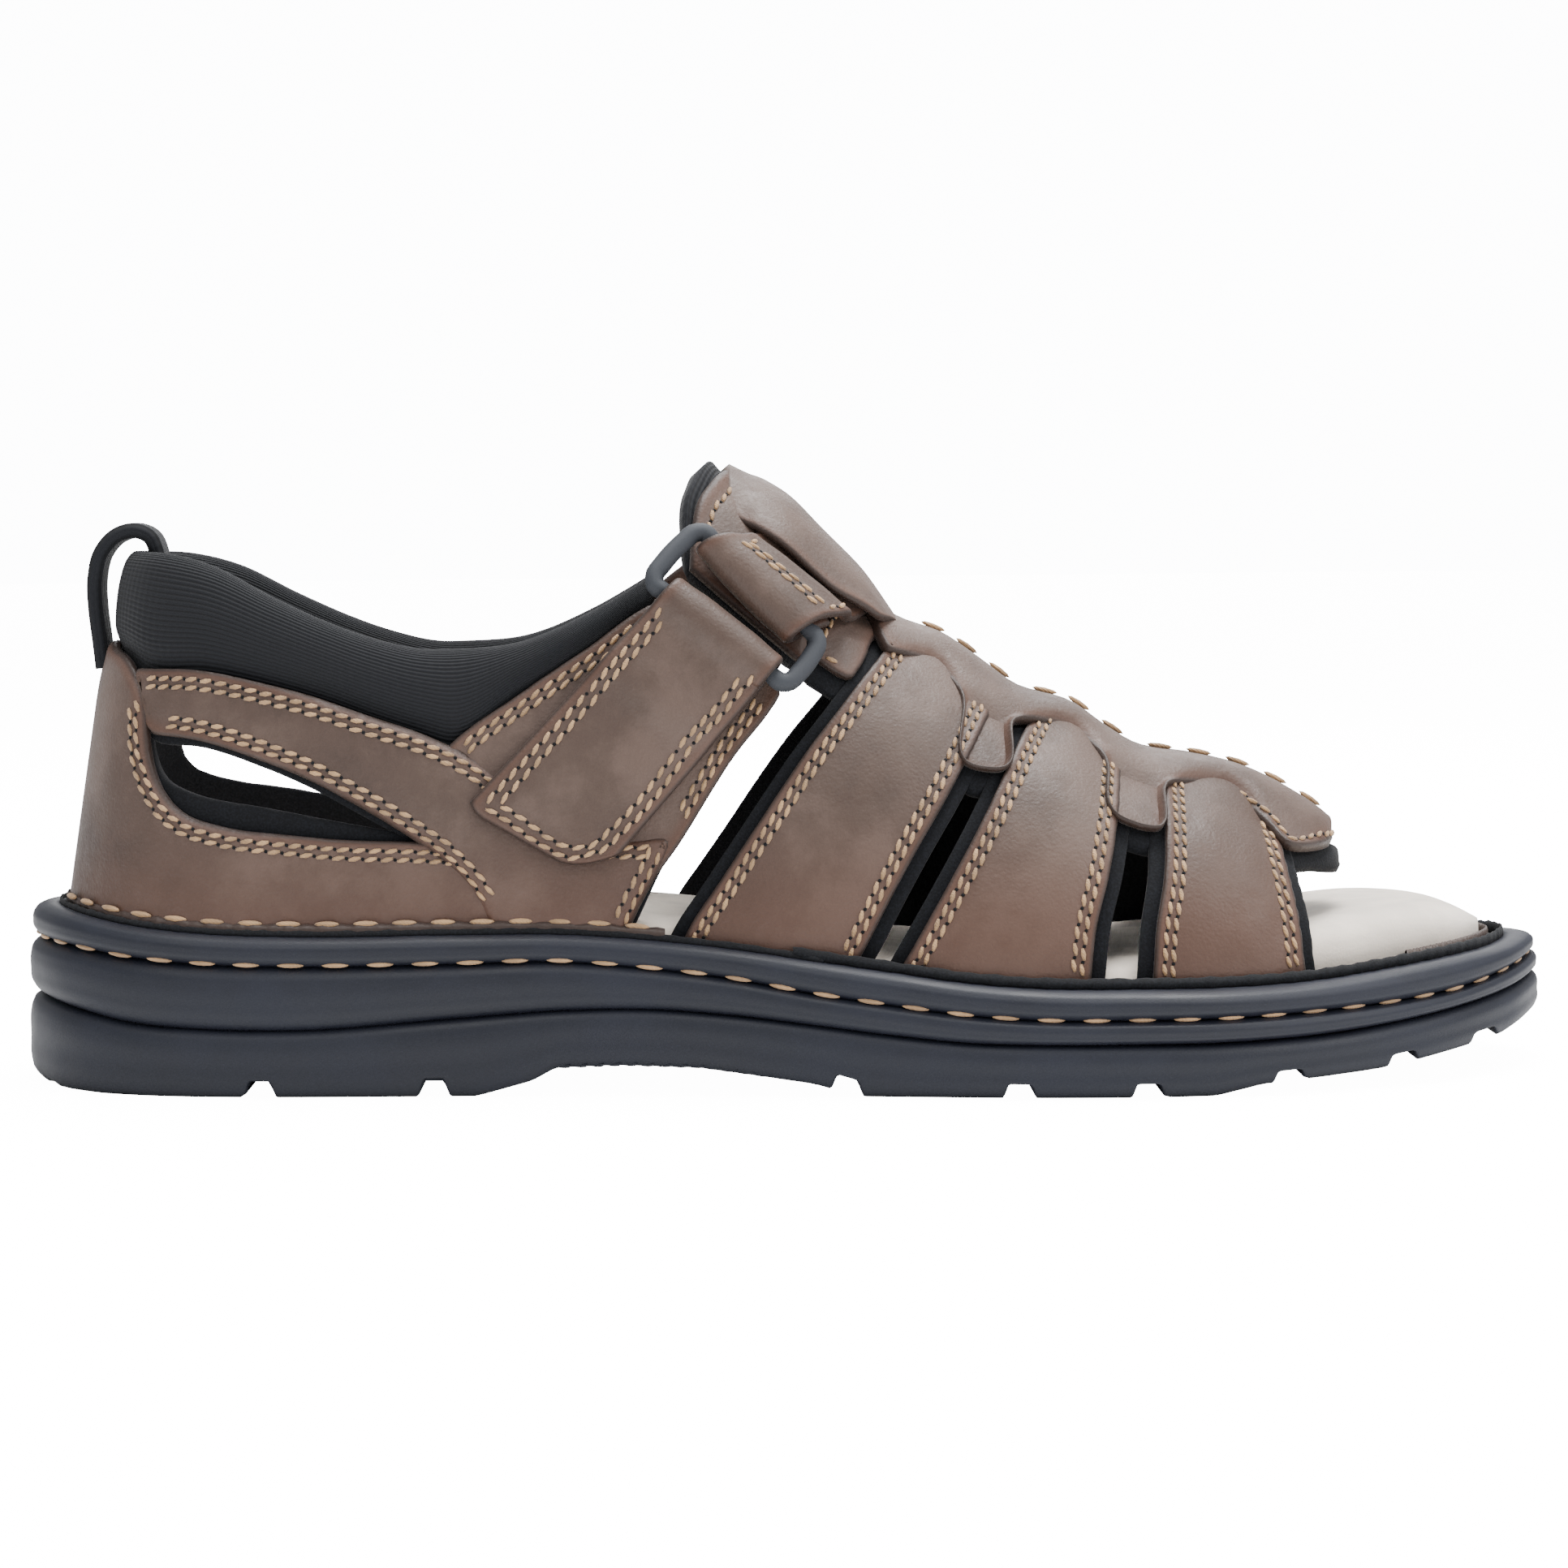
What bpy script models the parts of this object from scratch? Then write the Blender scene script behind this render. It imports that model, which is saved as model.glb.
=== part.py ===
"""Fisherman sandal, right shoe: a slate rubber unit under a strapped leather upper.
Toe towards +X, outer side towards -Y, standing on Z = 0. Metres."""
import bpy
import bmesh
import numpy as np
from math import acos, asin, cos, pi, sin, sqrt
from mathutils import Vector

# Driving dimensions
LENGTH = 0.300
BALL_WIDTH = 0.104
SOLE_HEIGHT = 0.0306
INSTEP_HEIGHT = 0.119
COLLAR_HEIGHT = 0.8655 * INSTEP_HEIGHT
LEATHER = 0.0020
PADDING = 0.0058
GAP = 0.0003
RAND_WIDTH = 0.0085
OVERLAY = 0.0011
NOTCH_WIDTH = 0.0052
NOTCH_DEPTH = 0.0027
RING_BAR = 0.0026
TONGUE_PADDING = 0.0042
WEBBING = 0.0018
LOOP_WIDTH = 0.0095
KEEPER_LIFT = 0.0032


def table(names, *rows):
    """Rows of numbers under named columns, the first column running along the shoe."""
    return dict(zip(names.split(), np.array(rows, float).T))


# Half widths, shares of BALL_WIDTH, along shares of LENGTH
PLAN = table(
    "along lateral medial",
    (0, 0, 0),
    (0.010, 0.130, 0.130),
    (0.033, 0.235, 0.225),
    (0.083, 0.325, 0.310),
    (0.150, 0.365, 0.350),
    (0.250, 0.380, 0.355),
    (0.370, 0.385, 0.325),
    (0.470, 0.408, 0.315),
    (0.570, 0.455, 0.355),
    (0.660, 0.491, 0.420),
    (0.740, 0.494, 0.481),
    (0.817, 0.448, 0.4945),
    (0.883, 0.365, 0.452),
    (0.933, 0.265, 0.382),
    (0.970, 0.150, 0.280),
    (0.992, 0.030, 0.175),
    (1, -0.067, 0.067))
# Heights of the sole's seams and of the footbed, shares of SOLE_HEIGHT
SEAMS = table(
    "along groove stitch rand bed",
    (0, 0.582, 0.941, 1.160, 1.160),
    (0.040, 0.523, 0.915, 1.110, 1.150),
    (0.077, 0.458, 0.869, 1.056, 1.130),
    (0.130, 0.422, 0.830, 1.010, 1.100),
    (0.190, 0.418, 0.817, 0.993, 1.085),
    (0.287, 0.487, 0.827, 1.000, 1.090),
    (0.353, 0.529, 0.837, 0.997, 1.095),
    (0.407, 0.536, 0.794, 0.961, 1.085),
    (0.460, 0.500, 0.729, 0.905, 1.030),
    (0.513, 0.441, 0.634, 0.830, 0.940),
    (0.560, 0.386, 0.569, 0.765, 0.850),
    (0.610, 0.340, 0.507, 0.696, 0.805),
    (0.657, 0.330, 0.477, 0.662, 0.795),
    (0.720, 0.330, 0.474, 0.654, 0.795),
    (0.767, 0.330, 0.474, 0.650, 0.830),
    (0.837, 0.356, 0.497, 0.673, 0.960),
    (0.887, 0.402, 0.523, 0.719, 1.020),
    (0.933, 0.461, 0.569, 0.758, 1.000),
    (0.967, 0.516, 0.637, 0.784, 0.930),
    (1, 0.582, 0.712, 0.833, 0.850))
# Rise of the tread above the floor, shares of SOLE_HEIGHT
TREAD = table(
    "along rise",
    (0, 0.040),
    (0.025, 0.007),
    (0.060, 0),
    (0.300, 0),
    (0.335, 0.092),
    (0.350, 0.173),
    (0.390, 0.186),
    (0.440, 0.170),
    (0.477, 0.121),
    (0.513, 0.072),
    (0.540, 0),
    (0.763, 0),
    (0.793, 0.060),
    (0.870, 0.108),
    (0.897, 0.140),
    (0.930, 0.186),
    (0.963, 0.232),
    (0.987, 0.300),
    (1, 0.337))
NOTCHES = (0.163, 0.273, 0.533, 0.640, 0.720, 0.810, 0.887, 0.947)
# The last: ridge in shares of INSTEP_HEIGHT, lean and round as powers of the section
LAST = table(
    "along ridge lean round",
    (0, 1.72, 2.6, 1.00),
    (0.130, 1.72, 2.6, 1.00),
    (0.230, 1.60, 2.3, 1.00),
    (0.330, 1.37, 1.8, 1.00),
    (0.400, 1.176, 1.35, 1.00),
    (0.467, 0.983, 1.10, 0.98),
    (0.533, 0.811, 1.00, 0.95),
    (0.573, 0.723, 0.95, 0.93),
    (0.650, 0.618, 0.92, 0.92),
    (0.727, 0.525, 0.90, 0.90),
    (0.800, 0.458, 0.90, 0.90),
    (0.850, 0.399, 0.90, 0.90),
    (0.900, 0.345, 0.90, 0.90))
HEEL_LEAN = 0.155
HEEL_LEAN_END = 0.20
LAST_END = 0.885
# Leather's top line at heel and quarter, and the collar's own top line, from the side
TOP_LINE = table(
    "along leather collar",
    (0, 0.700, 0.870),
    (0.068, 0.700, 0.870),
    (0.085, 0.680, 0.868),
    (0.127, 0.676, 0.845),
    (0.170, 0.655, 0.795),
    (0.205, 0.630, 0.757),
    (0.235, 0.602, 0.730),
    (0.267, 0.575, 0.712),
    (0.287, 0.562, 0.712),
    (0.328, 0.635, 0.722),
    (0.370, 0.705, 0.765),
    (0.405, 0.768, 0.815),
    (0.440, 0.820, 0.870))

# Side outlines of the gaps, along in shares of LENGTH, up in shares of INSTEP_HEIGHT
WINDOW_REAR = table(
    "along up",
    (0.400, 0.236),
    (0.399, 0.262),
    (0.412, 0.336),
    (0.423, 0.388),
    (0.446, 0.465),
    (0.464, 0.535),
    (0.485, 0.599),
    (0.497, 0.640),
    (0.4185, 0.785),
    (0.407, 0.769))
WINDOW_FRONT = table(
    "along up",
    (0.430, 0.230),
    (0.451, 0.323),
    (0.477, 0.419),
    (0.508, 0.534),
    (0.535, 0.617),
    (0.545, 0.642),
    (0.519, 0.700),
    (0.519, 0.890),
    (0.510, 1.10))
GAP_SECOND = table(
    "along up",
    (0.541, 0.190),
    (0.558, 0.292),
    (0.576, 0.375),
    (0.598, 0.463),
    (0.618, 0.536),
    (0.632, 0.518),
    (0.622, 0.436),
    (0.596, 0.323),
    (0.568, 0.190))
GAP_THIRD = table(
    "along up",
    (0.684, 0.170),
    (0.690, 0.256),
    (0.700, 0.342),
    (0.708, 0.427),
    (0.714, 0.442),
    (0.733, 0.424),
    (0.736, 0.340),
    (0.729, 0.255),
    (0.726, 0.170))
HEEL_HOLE = table(
    "along up",
    (0.090, 0.572),
    (0.122, 0.566),
    (0.168, 0.529),
    (0.204, 0.490),
    (0.235, 0.446),
    (0.252, 0.412),
    (0.225, 0.405),
    (0.178, 0.415),
    (0.137, 0.429),
    (0.109, 0.455),
    (0.096, 0.498))
QUARTER = table(
    "along up",
    (0.306, 0.10),
    (0.306, 0.287),
    (0.286, 0.384),
    (0.262, 0.424),
    (0.235, 0.452),
    (0.204, 0.497),
    (0.168, 0.537),
    (0.122, 0.574),
    (0.095, 0.580),
    (0.095, 0.80),
    (0.470, 1.00),
    (0.512, 0.66),
    (0.428, 0.27),
    (0.428, 0.10))
# Half widths of the spine over the straps and of the open toe edge, from above
SPINE = table(
    "along half",
    (0.5620, 0.150),
    (0.590, 0.100),
    (0.610, 0.150),
    (0.620, 0.285),
    (0.632, 0.285),
    (0.644, 0.165),
    (0.680, 0.105),
    (0.702, 0.150),
    (0.714, 0.300),
    (0.731, 0.300),
    (0.744, 0.165),
    (0.776, 0.105),
    (0.805, 0.155),
    (0.822, 0.205),
    (0.843, 0.145),
    (0.855, 0.070),
    (0.858, 0))
TOE_EDGE = table(
    "half along",
    (0, 0.858),
    (0.070, 0.855),
    (0.145, 0.843),
    (0.200, 0.825),
    (0.240, 0.817),
    (0.300, 0.819),
    (0.360, 0.825),
    (0.600, 0.830))
# Strap corners on the outer side, seen from the side: fold end and free end
FLAP = table("along up", (0.428, 0.807), (0.494, 0.671), (0.376, 0.335), (0.293, 0.454))


def smooth(columns, name, at, key="along"):
    """Cubic through a table's rows, its slopes taken from neighbouring rows."""
    xs, ys = columns[key], columns[name]
    at = min(max(at, xs[0]), xs[-1])
    i = int(min(max(np.searchsorted(xs, at) - 1, 0), len(xs) - 2))
    h = xs[i + 1] - xs[i]
    u = (at - xs[i]) / h
    slopes = np.gradient(ys, xs)
    return ((2 * u**3 - 3 * u**2 + 1) * ys[i] + (u**3 - 2 * u**2 + u) * h * slopes[i]
            + (3 * u**2 - 2 * u**3) * ys[i + 1] + (u**3 - u**2) * h * slopes[i + 1])


def turn(a):
    """Angle that runs evenly round the blunt ends of the sole as the share a grows."""
    return acos(1 - 2 * min(max(a, 0), 1))


PLAN["turn"] = np.array([turn(a) for a in PLAN["along"]])
HALF = BALL_WIDTH / 2


def plan(a, side, inset=0.0):
    """Point of the sole's outline at share a; side -1 is the outer side, +1 the inner."""
    lateral = smooth(PLAN, "lateral", turn(a), "turn") * BALL_WIDTH
    medial = smooth(PLAN, "medial", turn(a), "turn") * BALL_WIDTH
    middle = (medial - lateral) / 2
    half = (medial + lateral) / 2 * (1 - inset / HALF)
    return (a - 0.5) * (LENGTH - 2 * inset), middle + side * half


def share(x):
    """Share along the shoe of a place x."""
    return min(max(x / LENGTH + 0.5, 0), 1)


def seam(name, x):
    return smooth(SEAMS, name, share(x)) * SOLE_HEIGHT


def tread(x):
    return float(np.interp(share(x), TREAD["along"], TREAD["rise"])) * SOLE_HEIGHT


def foot(x):
    """Height at which the upper's bottom margin stands on the midsole."""
    return seam("stitch", x) + 2 * GAP


def skin(a, side, climb, lift=0.0):
    """Point of the last at share a, climbing from 0 at the feather line to 1 on the ridge."""
    x, y = plan(a, side, RAND_WIDTH)
    middle = plan(a, 0, RAND_WIDTH)[1] * (1 - climb)
    low = foot(x)
    ridge = smooth(LAST, "ridge", a) * INSTEP_HEIGHT
    angle = climb * pi / 2
    z = low + (ridge - low) * sin(angle) ** smooth(LAST, "round", a)
    reach = cos(angle) ** smooth(LAST, "lean", a) if climb < 1 else 0.0
    lean = HEEL_LEAN * max(0, 1 - a / HEEL_LEAN_END) * (z - low)
    point = Vector((x + lean, middle + (y - plan(a, 0, RAND_WIDTH)[1]) * reach, z))
    if lift:
        point += outward(a, side, climb) * lift
    return point


def outward(a, side, climb):
    """Unit normal of the last."""
    step = 0.004
    low, high = max(climb - step, 0), min(climb + step, 1 - 1e-6)
    back, front = max(a - step, 0), min(a + step, 1)
    if a < step:
        return Vector((-1, 0, -HEEL_LEAN)).normalized()
    up = skin(a, side, high) - skin(a, side, low)
    along = skin(front, side, climb) - skin(back, side, climb)
    if climb > 0.985:
        up = Vector((0, -side, 0))
    normal = along.cross(up) * side
    return -normal.normalized() if normal.length else Vector((0, side, 0))


def climb_to(a, z):
    """Climb at which the last reaches the height z."""
    low = foot(plan(a, 0, RAND_WIDTH)[0])
    ridge = smooth(LAST, "ridge", a) * INSTEP_HEIGHT
    part = min(max((z - low) / (ridge - low), 0), 1)
    return asin(part ** (1 / smooth(LAST, "round", a))) / (pi / 2)


def on_side(x, z, side=-1, lift=0.0):
    """Point of the last seen at x, z from the side, lifted off it."""
    a = x / (LENGTH - 2 * RAND_WIDTH) + 0.5
    return skin(a, side, climb_to(a, z), lift)


def side_point(columns, i):
    return (columns["along"][i] - 0.5) * LENGTH, columns["up"][i] * INSTEP_HEIGHT


parts = bpy.data.collections.new("fisherman_sandal")
tools = bpy.data.collections.new("cutters")


def start():
    for old in list(bpy.context.scene.objects):
        bpy.data.objects.remove(old)
    bpy.context.scene.collection.children.link(parts)
    bpy.context.scene.collection.children.link(tools)


def material(name, colour, roughness):
    made = bpy.data.materials.new(name)
    made.use_nodes = True
    shader = made.node_tree.nodes["Principled BSDF"]
    shader.inputs["Base Color"].default_value = (*colour, 1)
    shader.inputs["Roughness"].default_value = roughness
    return made


def add(name, work, finish=None, cutter=False, repair=True):
    """Object from a bmesh, its faces turned outwards."""
    if repair:
        bmesh.ops.recalc_face_normals(work, faces=work.faces)
    mesh = bpy.data.meshes.new(name)
    work.to_mesh(mesh)
    work.free()
    mesh.shade_smooth()
    made = bpy.data.objects.new(name, mesh)
    (tools if cutter else parts).objects.link(made)
    if cutter:
        made.hide_render = True
        made.display_type = "WIRE"
    if finish:
        mesh.materials.append(finish)
    return made


def boolean(target, operation, other, solver="EXACT"):
    made = target.modifiers.new(operation.lower(), "BOOLEAN")
    made.operation = operation
    made.solver = solver
    made.object = other


def grid(columns, rows, place, closed=False):
    """Sheet of columns by rows; place(u, v) puts each corner, u and v from 0 to 1."""
    work = bmesh.new()
    bmesh.ops.create_grid(work, x_segments=columns, y_segments=rows, size=0.5)
    for vertex in work.verts:
        vertex.co = place(vertex.co.x + 0.5, vertex.co.y + 0.5)
    if closed:
        bmesh.ops.remove_doubles(work, verts=work.verts, dist=1e-6)
    return work


def block(columns, rows, place):
    """Closed slab between the two skins place(u, v, 0) and place(u, v, 1)."""
    work = bmesh.new()
    corner = [[[work.verts.new(place(i / columns, j / rows, k)) for k in (0, 1)]
               for j in range(rows + 1)] for i in range(columns + 1)]
    for i in range(columns):
        for j in range(rows):
            for k in (0, 1):
                work.faces.new((corner[i][j][k], corner[i + 1][j][k],
                                corner[i + 1][j + 1][k], corner[i][j + 1][k]))
    for i in range(columns):
        for j in (0, rows):
            work.faces.new((corner[i][j][0], corner[i + 1][j][0], corner[i + 1][j][1], corner[i][j][1]))
    for j in range(rows):
        for i in (0, columns):
            work.faces.new((corner[i][j][0], corner[i][j + 1][0], corner[i][j + 1][1], corner[i][j][1]))
    bmesh.ops.remove_doubles(work, verts=work.verts, dist=1e-6)
    return work


def prism(name, points, axis, low, high):
    """Cutter: an outline of pairs swept along Y (axis 'Y') or Z (axis 'Z')."""
    work = bmesh.new()
    flip = (lambda p, q, r: (p, r, q)) if axis == "Y" else (lambda p, q, r: (p, q, r))
    face = work.faces.new([work.verts.new(flip(p, q, low)) for p, q in points])
    swept = bmesh.ops.extrude_face_region(work, geom=[face])["geom"]
    moved = [v for v in swept if isinstance(v, bmesh.types.BMVert)]
    shift = Vector(flip(0, 0, high - low))
    bmesh.ops.translate(work, verts=moved, vec=shift)
    return add(name, work, cutter=True)


# Stations along the sole: even round the ends, with the tread's own breaks
STATION_COUNT = 36
BREAKS = (0.060, 0.300, 0.335, 0.350, 0.513, 0.540, 0.763, 0.793)
STATIONS = sorted({round((1 - cos(pi * i / STATION_COUNT)) / 2, 5) for i in range(STATION_COUNT + 1)}
                  | set(BREAKS))


def stack(rings):
    """Closed body of rings; each ring is (inset, height function of x) round the outline."""
    work = bmesh.new()
    loops = []
    for inset, height in rings:
        loop = []
        for side, order in ((-1, STATIONS), (1, STATIONS[-2:0:-1])):
            for a in order:
                x, y = plan(a, side, inset)
                loop.append(work.verts.new((x, y, height(x))))
        loops.append(loop)
    count = len(loops[0])
    for low, high in zip(loops, loops[1:]):
        for i in range(count):
            j = (i + 1) % count
            work.faces.new((low[i], low[j], high[j], high[i]))
    for loop in (loops[0], loops[-1]):
        for i in range(count // 2):
            ends = (loop[i], loop[i + 1], loop[-i - 1], loop[-i % count])
            work.faces.new(list(dict.fromkeys(ends)))
    return work


def between(low, high, part):
    """Height function a share of the way from one seam to the next, with a shift."""
    return lambda x: low(x) + (high(x) - low(x)) * part


def groove(x):
    return seam("groove", x)


def stitch(x):
    return seam("stitch", x)


def rand(x):
    return seam("rand", x)


OUTSOLE_SIDE = table("part inset", (0, 0.0028), (0.13, 0.0010), (0.45, 0), (0.80, 0.0004),
                     (0.93, 0.0014), (1, 0.0034))
MIDSOLE_SIDE = table("part inset", (0, 0.0034), (0.10, 0.0014), (0.35, 0.0004), (0.75, 0.0006),
                     (0.92, 0.0016), (1, 0.0034))
WELT_SIDE = table("part inset", (0, 0.0034), (0.15, 0.0018), (0.45, 0.0012), (0.80, 0.0022), (1, 0.0042))


def side_rings(profile, low, high):
    return [(inset, between(low, high, part)) for part, inset in zip(profile["part"], profile["inset"])]


def make_outsole(rubber):
    made = add("outsole", stack(side_rings(OUTSOLE_SIDE, tread, groove)), rubber)
    for i, a in enumerate(NOTCHES):
        x = (a - 0.5) * LENGTH
        low = tread(x)
        tilt = NOTCH_WIDTH * 0.22
        outline = [(x - NOTCH_WIDTH / 2 - tilt, low - NOTCH_DEPTH), (x + NOTCH_WIDTH / 2 + tilt, low - NOTCH_DEPTH),
                   (x + NOTCH_WIDTH / 2 - tilt, low + NOTCH_DEPTH), (x - NOTCH_WIDTH / 2 + tilt, low + NOTCH_DEPTH)]
        boolean(made, "DIFFERENCE", prism(f"notch_{i}", outline, "Y", -BALL_WIDTH, BALL_WIDTH))
    return made


def make_midsole(rubber):
    above_groove = lambda x: groove(x) + GAP
    return add("midsole", stack(side_rings(MIDSOLE_SIDE, above_groove, stitch)), rubber)


def wall_cutter(name, inset, top):
    """Upright body inside the outline at an inset, for clearing the upper's foot."""
    return add(name, stack([(inset, lambda x: -SOLE_HEIGHT), (inset, lambda x: top)]), cutter=True)


def make_welt(rubber):
    above_stitch = lambda x: stitch(x) + GAP
    made = add("welt", stack(side_rings(WELT_SIDE, above_stitch, rand)), rubber)
    boolean(made, "DIFFERENCE", wall_cutter("welt_bore", RAND_WIDTH - 2 * GAP, INSTEP_HEIGHT))
    return made


BED_EDGE = 0.0018
BED_CROWN = 0.0016
BED_CROWN_START = 0.55
# Rings of the footbed: how far in, in BED_EDGEs, and how far under its top
BED_RINGS = table("inset under", (1, 0.0032), (2, 0.0010), (3.5, 0))
BED_FLAT = 0.014
BED_FOOT = 0.0010


def make_footbed(suede):
    inset = RAND_WIDTH + LEATHER + 4 * GAP
    low = lambda x: stitch(x) + GAP
    bed = lambda x: seam("bed", x)
    rings = [(inset + GAP, low), (inset, lambda x: low(x) + BED_FOOT)]
    for out, under in zip(BED_RINGS["inset"], BED_RINGS["under"]):
        rings.append((inset + out * BED_EDGE, lambda x, under=under: bed(x) - under))
    rings.append((inset + BED_FLAT, lambda x: bed(x) + BED_CROWN * max(0, share(x) - BED_CROWN_START)))
    return add("footbed", stack(rings), suede)


UPPER_COLUMNS = 32
UPPER_ROWS = 10
SHEET_TOP = 1.02 * INSTEP_HEIGHT
LAST_STATIONS = [(1 - cos(turn(LAST_END) * i / UPPER_COLUMNS)) / 2 for i in range(UPPER_COLUMNS + 1)]


def last_sheet(lift=0.0):
    """The last as an open sheet, from the inner toe round the heel to the outer toe."""
    def place(u, v):
        side = -1 if u > 0.5 else 1
        a = LAST_STATIONS[round(abs(2 * u - 1) * UPPER_COLUMNS)]
        return skin(a, side, v * climb_to(a, SHEET_TOP), lift)
    return grid(2 * UPPER_COLUMNS, UPPER_ROWS, place, closed=True)


def shell(name, lift, wall, cutter=False, finish=None):
    """Last as a closed wall of the given thickness, its outer face lifted off the last."""
    work = last_sheet(lift)
    bmesh.ops.recalc_face_normals(work, faces=work.faces)
    heel = max(work.faces, key=lambda f: -f.calc_center_median().x)
    if heel.normal.x > 0:
        bmesh.ops.reverse_faces(work, faces=work.faces)
    made = add(name, work, finish, cutter, repair=False)
    solid = made.modifiers.new("wall", "SOLIDIFY")
    solid.thickness = wall
    solid.offset = -1
    solid.use_even_offset = True
    return made


def outline(columns):
    return [side_point(columns, i) for i in range(len(columns["along"]))]


def open_rear():
    """Everything behind the first strap and above the leather's top line."""
    top = [((a - 0.5) * LENGTH, up * INSTEP_HEIGHT) for a, up in zip(TOP_LINE["along"], TOP_LINE["leather"])
           if a < WINDOW_REAR["along"][-1]]
    top[0] = (-LENGTH, top[0][1])
    high = 2 * INSTEP_HEIGHT
    points = top + outline(WINDOW_REAR)[::-1] + outline(WINDOW_FRONT)
    points += [(points[-1][0], high), (-LENGTH, high)]
    return points


def toe_outline():
    rows = list(zip(TOE_EDGE["half"] * BALL_WIDTH, (TOE_EDGE["along"] - 0.5) * LENGTH))
    points = [(x, -y) for y, x in rows[::-1]] + [(x, y) for y, x in rows[1:]]
    return points + [(LENGTH, BALL_WIDTH), (LENGTH, -BALL_WIDTH)]


def spine_outline():
    rows = list(zip((SPINE["along"] - 0.5) * LENGTH, SPINE["half"] * BALL_WIDTH))
    return [(x, -y) for x, y in rows] + [(x, y) for x, y in rows[-2::-1]]


def make_upper(leather):
    made = shell("upper", 0, LEATHER, finish=leather)
    spine = shell("spine_sheet", OVERLAY, OVERLAY + LEATHER / 2, cutter=True)
    spine_edge = prism("spine_outline", spine_outline(), "Z", 0, 2 * INSTEP_HEIGHT)
    boolean(spine, "INTERSECT", spine_edge, "MANIFOLD")
    quarter = shell("quarter_sheet", OVERLAY, OVERLAY + LEATHER / 2, cutter=True)
    quarter_edge = prism("quarter_outline", outline(QUARTER), "Y", -BALL_WIDTH, BALL_WIDTH)
    boolean(quarter, "INTERSECT", quarter_edge, "MANIFOLD")
    boolean(quarter, "DIFFERENCE", wall_cutter("quarter_foot", 0, SOLE_HEIGHT * 1.03), "MANIFOLD")
    boolean(made, "UNION", quarter, "MANIFOLD")
    boolean(made, "UNION", spine, "MANIFOLD")
    cuts = (("open_rear", open_rear()), ("gap_second", outline(GAP_SECOND)),
            ("gap_third", outline(GAP_THIRD)), ("heel_hole", outline(HEEL_HOLE)))
    for name, points in cuts:
        boolean(made, "DIFFERENCE", prism(name, points, "Y", -BALL_WIDTH, BALL_WIDTH), "MANIFOLD")
    toe = prism("open_toe", toe_outline(), "Z", SOLE_HEIGHT * 0.70, 2 * INSTEP_HEIGHT)
    boolean(made, "DIFFERENCE", toe, "MANIFOLD")
    return made


COLLAR_END = 0.408
COLLAR_OVERLAP = 0.008
EDGE_LEVEL = 0.68 * INSTEP_HEIGHT
EDGE_STEP = 0.0022
# Section of the collar: out in shares of PADDING from the last, up in shares of its visible height
COLLAR_SECTION = table(
    "out up",
    (-0.06, 0.24), (-0.03, 0.58), (-0.10, 0.88), (-0.42, 1.0), (-0.80, 0.88), (-1.00, 0.58))


def make_collar(knit):
    """Padded band inside the leather's top edge, round the heel to the instep."""
    work = bmesh.new()
    tucked = -LEATHER - GAP
    half_way = [a for a in LAST_STATIONS if a < COLLAR_END - 0.005] + [COLLAR_END]
    rings = []
    for side, a in [(1, a) for a in half_way[:0:-1]] + [(-1, a) for a in half_way]:
        along = share(skin(a, side, climb_to(a, EDGE_LEVEL)).x)
        edge = float(np.interp(along, TOP_LINE["along"], TOP_LINE["leather"])) * INSTEP_HEIGHT
        tall = smooth(TOP_LINE, "collar", along) * INSTEP_HEIGHT - edge
        section = [(tucked, edge - COLLAR_OVERLAP), (tucked, edge + EDGE_STEP)]
        section += [(out * PADDING, edge + up * tall) for out, up in zip(COLLAR_SECTION["out"], COLLAR_SECTION["up"])]
        section.append((-PADDING, edge - COLLAR_OVERLAP))
        rings.append([work.verts.new(skin(a, side, climb_to(a, z), lift)) for lift, z in section])
    count = len(rings[0])
    for low, high in zip(rings, rings[1:]):
        for i in range(count):
            j = (i + 1) % count
            work.faces.new((low[i], low[j], high[j], high[i]))
    work.faces.new(rings[0])
    work.faces.new(rings[-1][::-1])
    bmesh.ops.remove_doubles(work, verts=work.verts, dist=1e-6)
    return add("collar", work, knit)


STRAP = 0.0018
LAYER = OVERLAY + GAP + STRAP / 2
SECOND_LAYER = LAYER + STRAP + GAP
FOLD = RING_BAR / 2 + 2 * GAP + STRAP / 2
BAR_LIFT = LAYER + FOLD
BAR_BACK = FOLD + STRAP / 2
FLAP_LENGTH = 0.059
FLAP_TUCK = 0.017
BRACE_LENGTH = 0.101
BRACE_TUCK = 0.0082
FOLD_STEPS = 6
STRAP_ROWS = 6
# The instep strap's two edges: climb passes 1 at the ridge and counts on down the inner side
BRACE = table(
    "run rear_climb rear_along front_climb front_along",
    (-0.10, 0.440, 0.415, 0.390, 0.470),
    (0, 0.526, 0.4365, 0.494, 0.4945),
    (0.13, 0.685, 0.474, 0.724, 0.538),
    (0.31, 1.000, 0.487, 1.000, 0.553),
    (0.49, 1.290, 0.480, 1.260, 0.547),
    (0.64, 1.450, 0.445, 1.480, 0.505),
    (1, 1.750, 0.362, 1.820, 0.430))


def on_last(along, side, climb, lift):
    """Point at a share of LENGTH; a climb over 1 goes on down the other side."""
    if climb > 1:
        side, climb = -side, 2 - climb
    a = (along - 0.5) * LENGTH / (LENGTH - 2 * RAND_WIDTH) + 0.5
    return skin(a, side, climb, lift)


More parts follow.
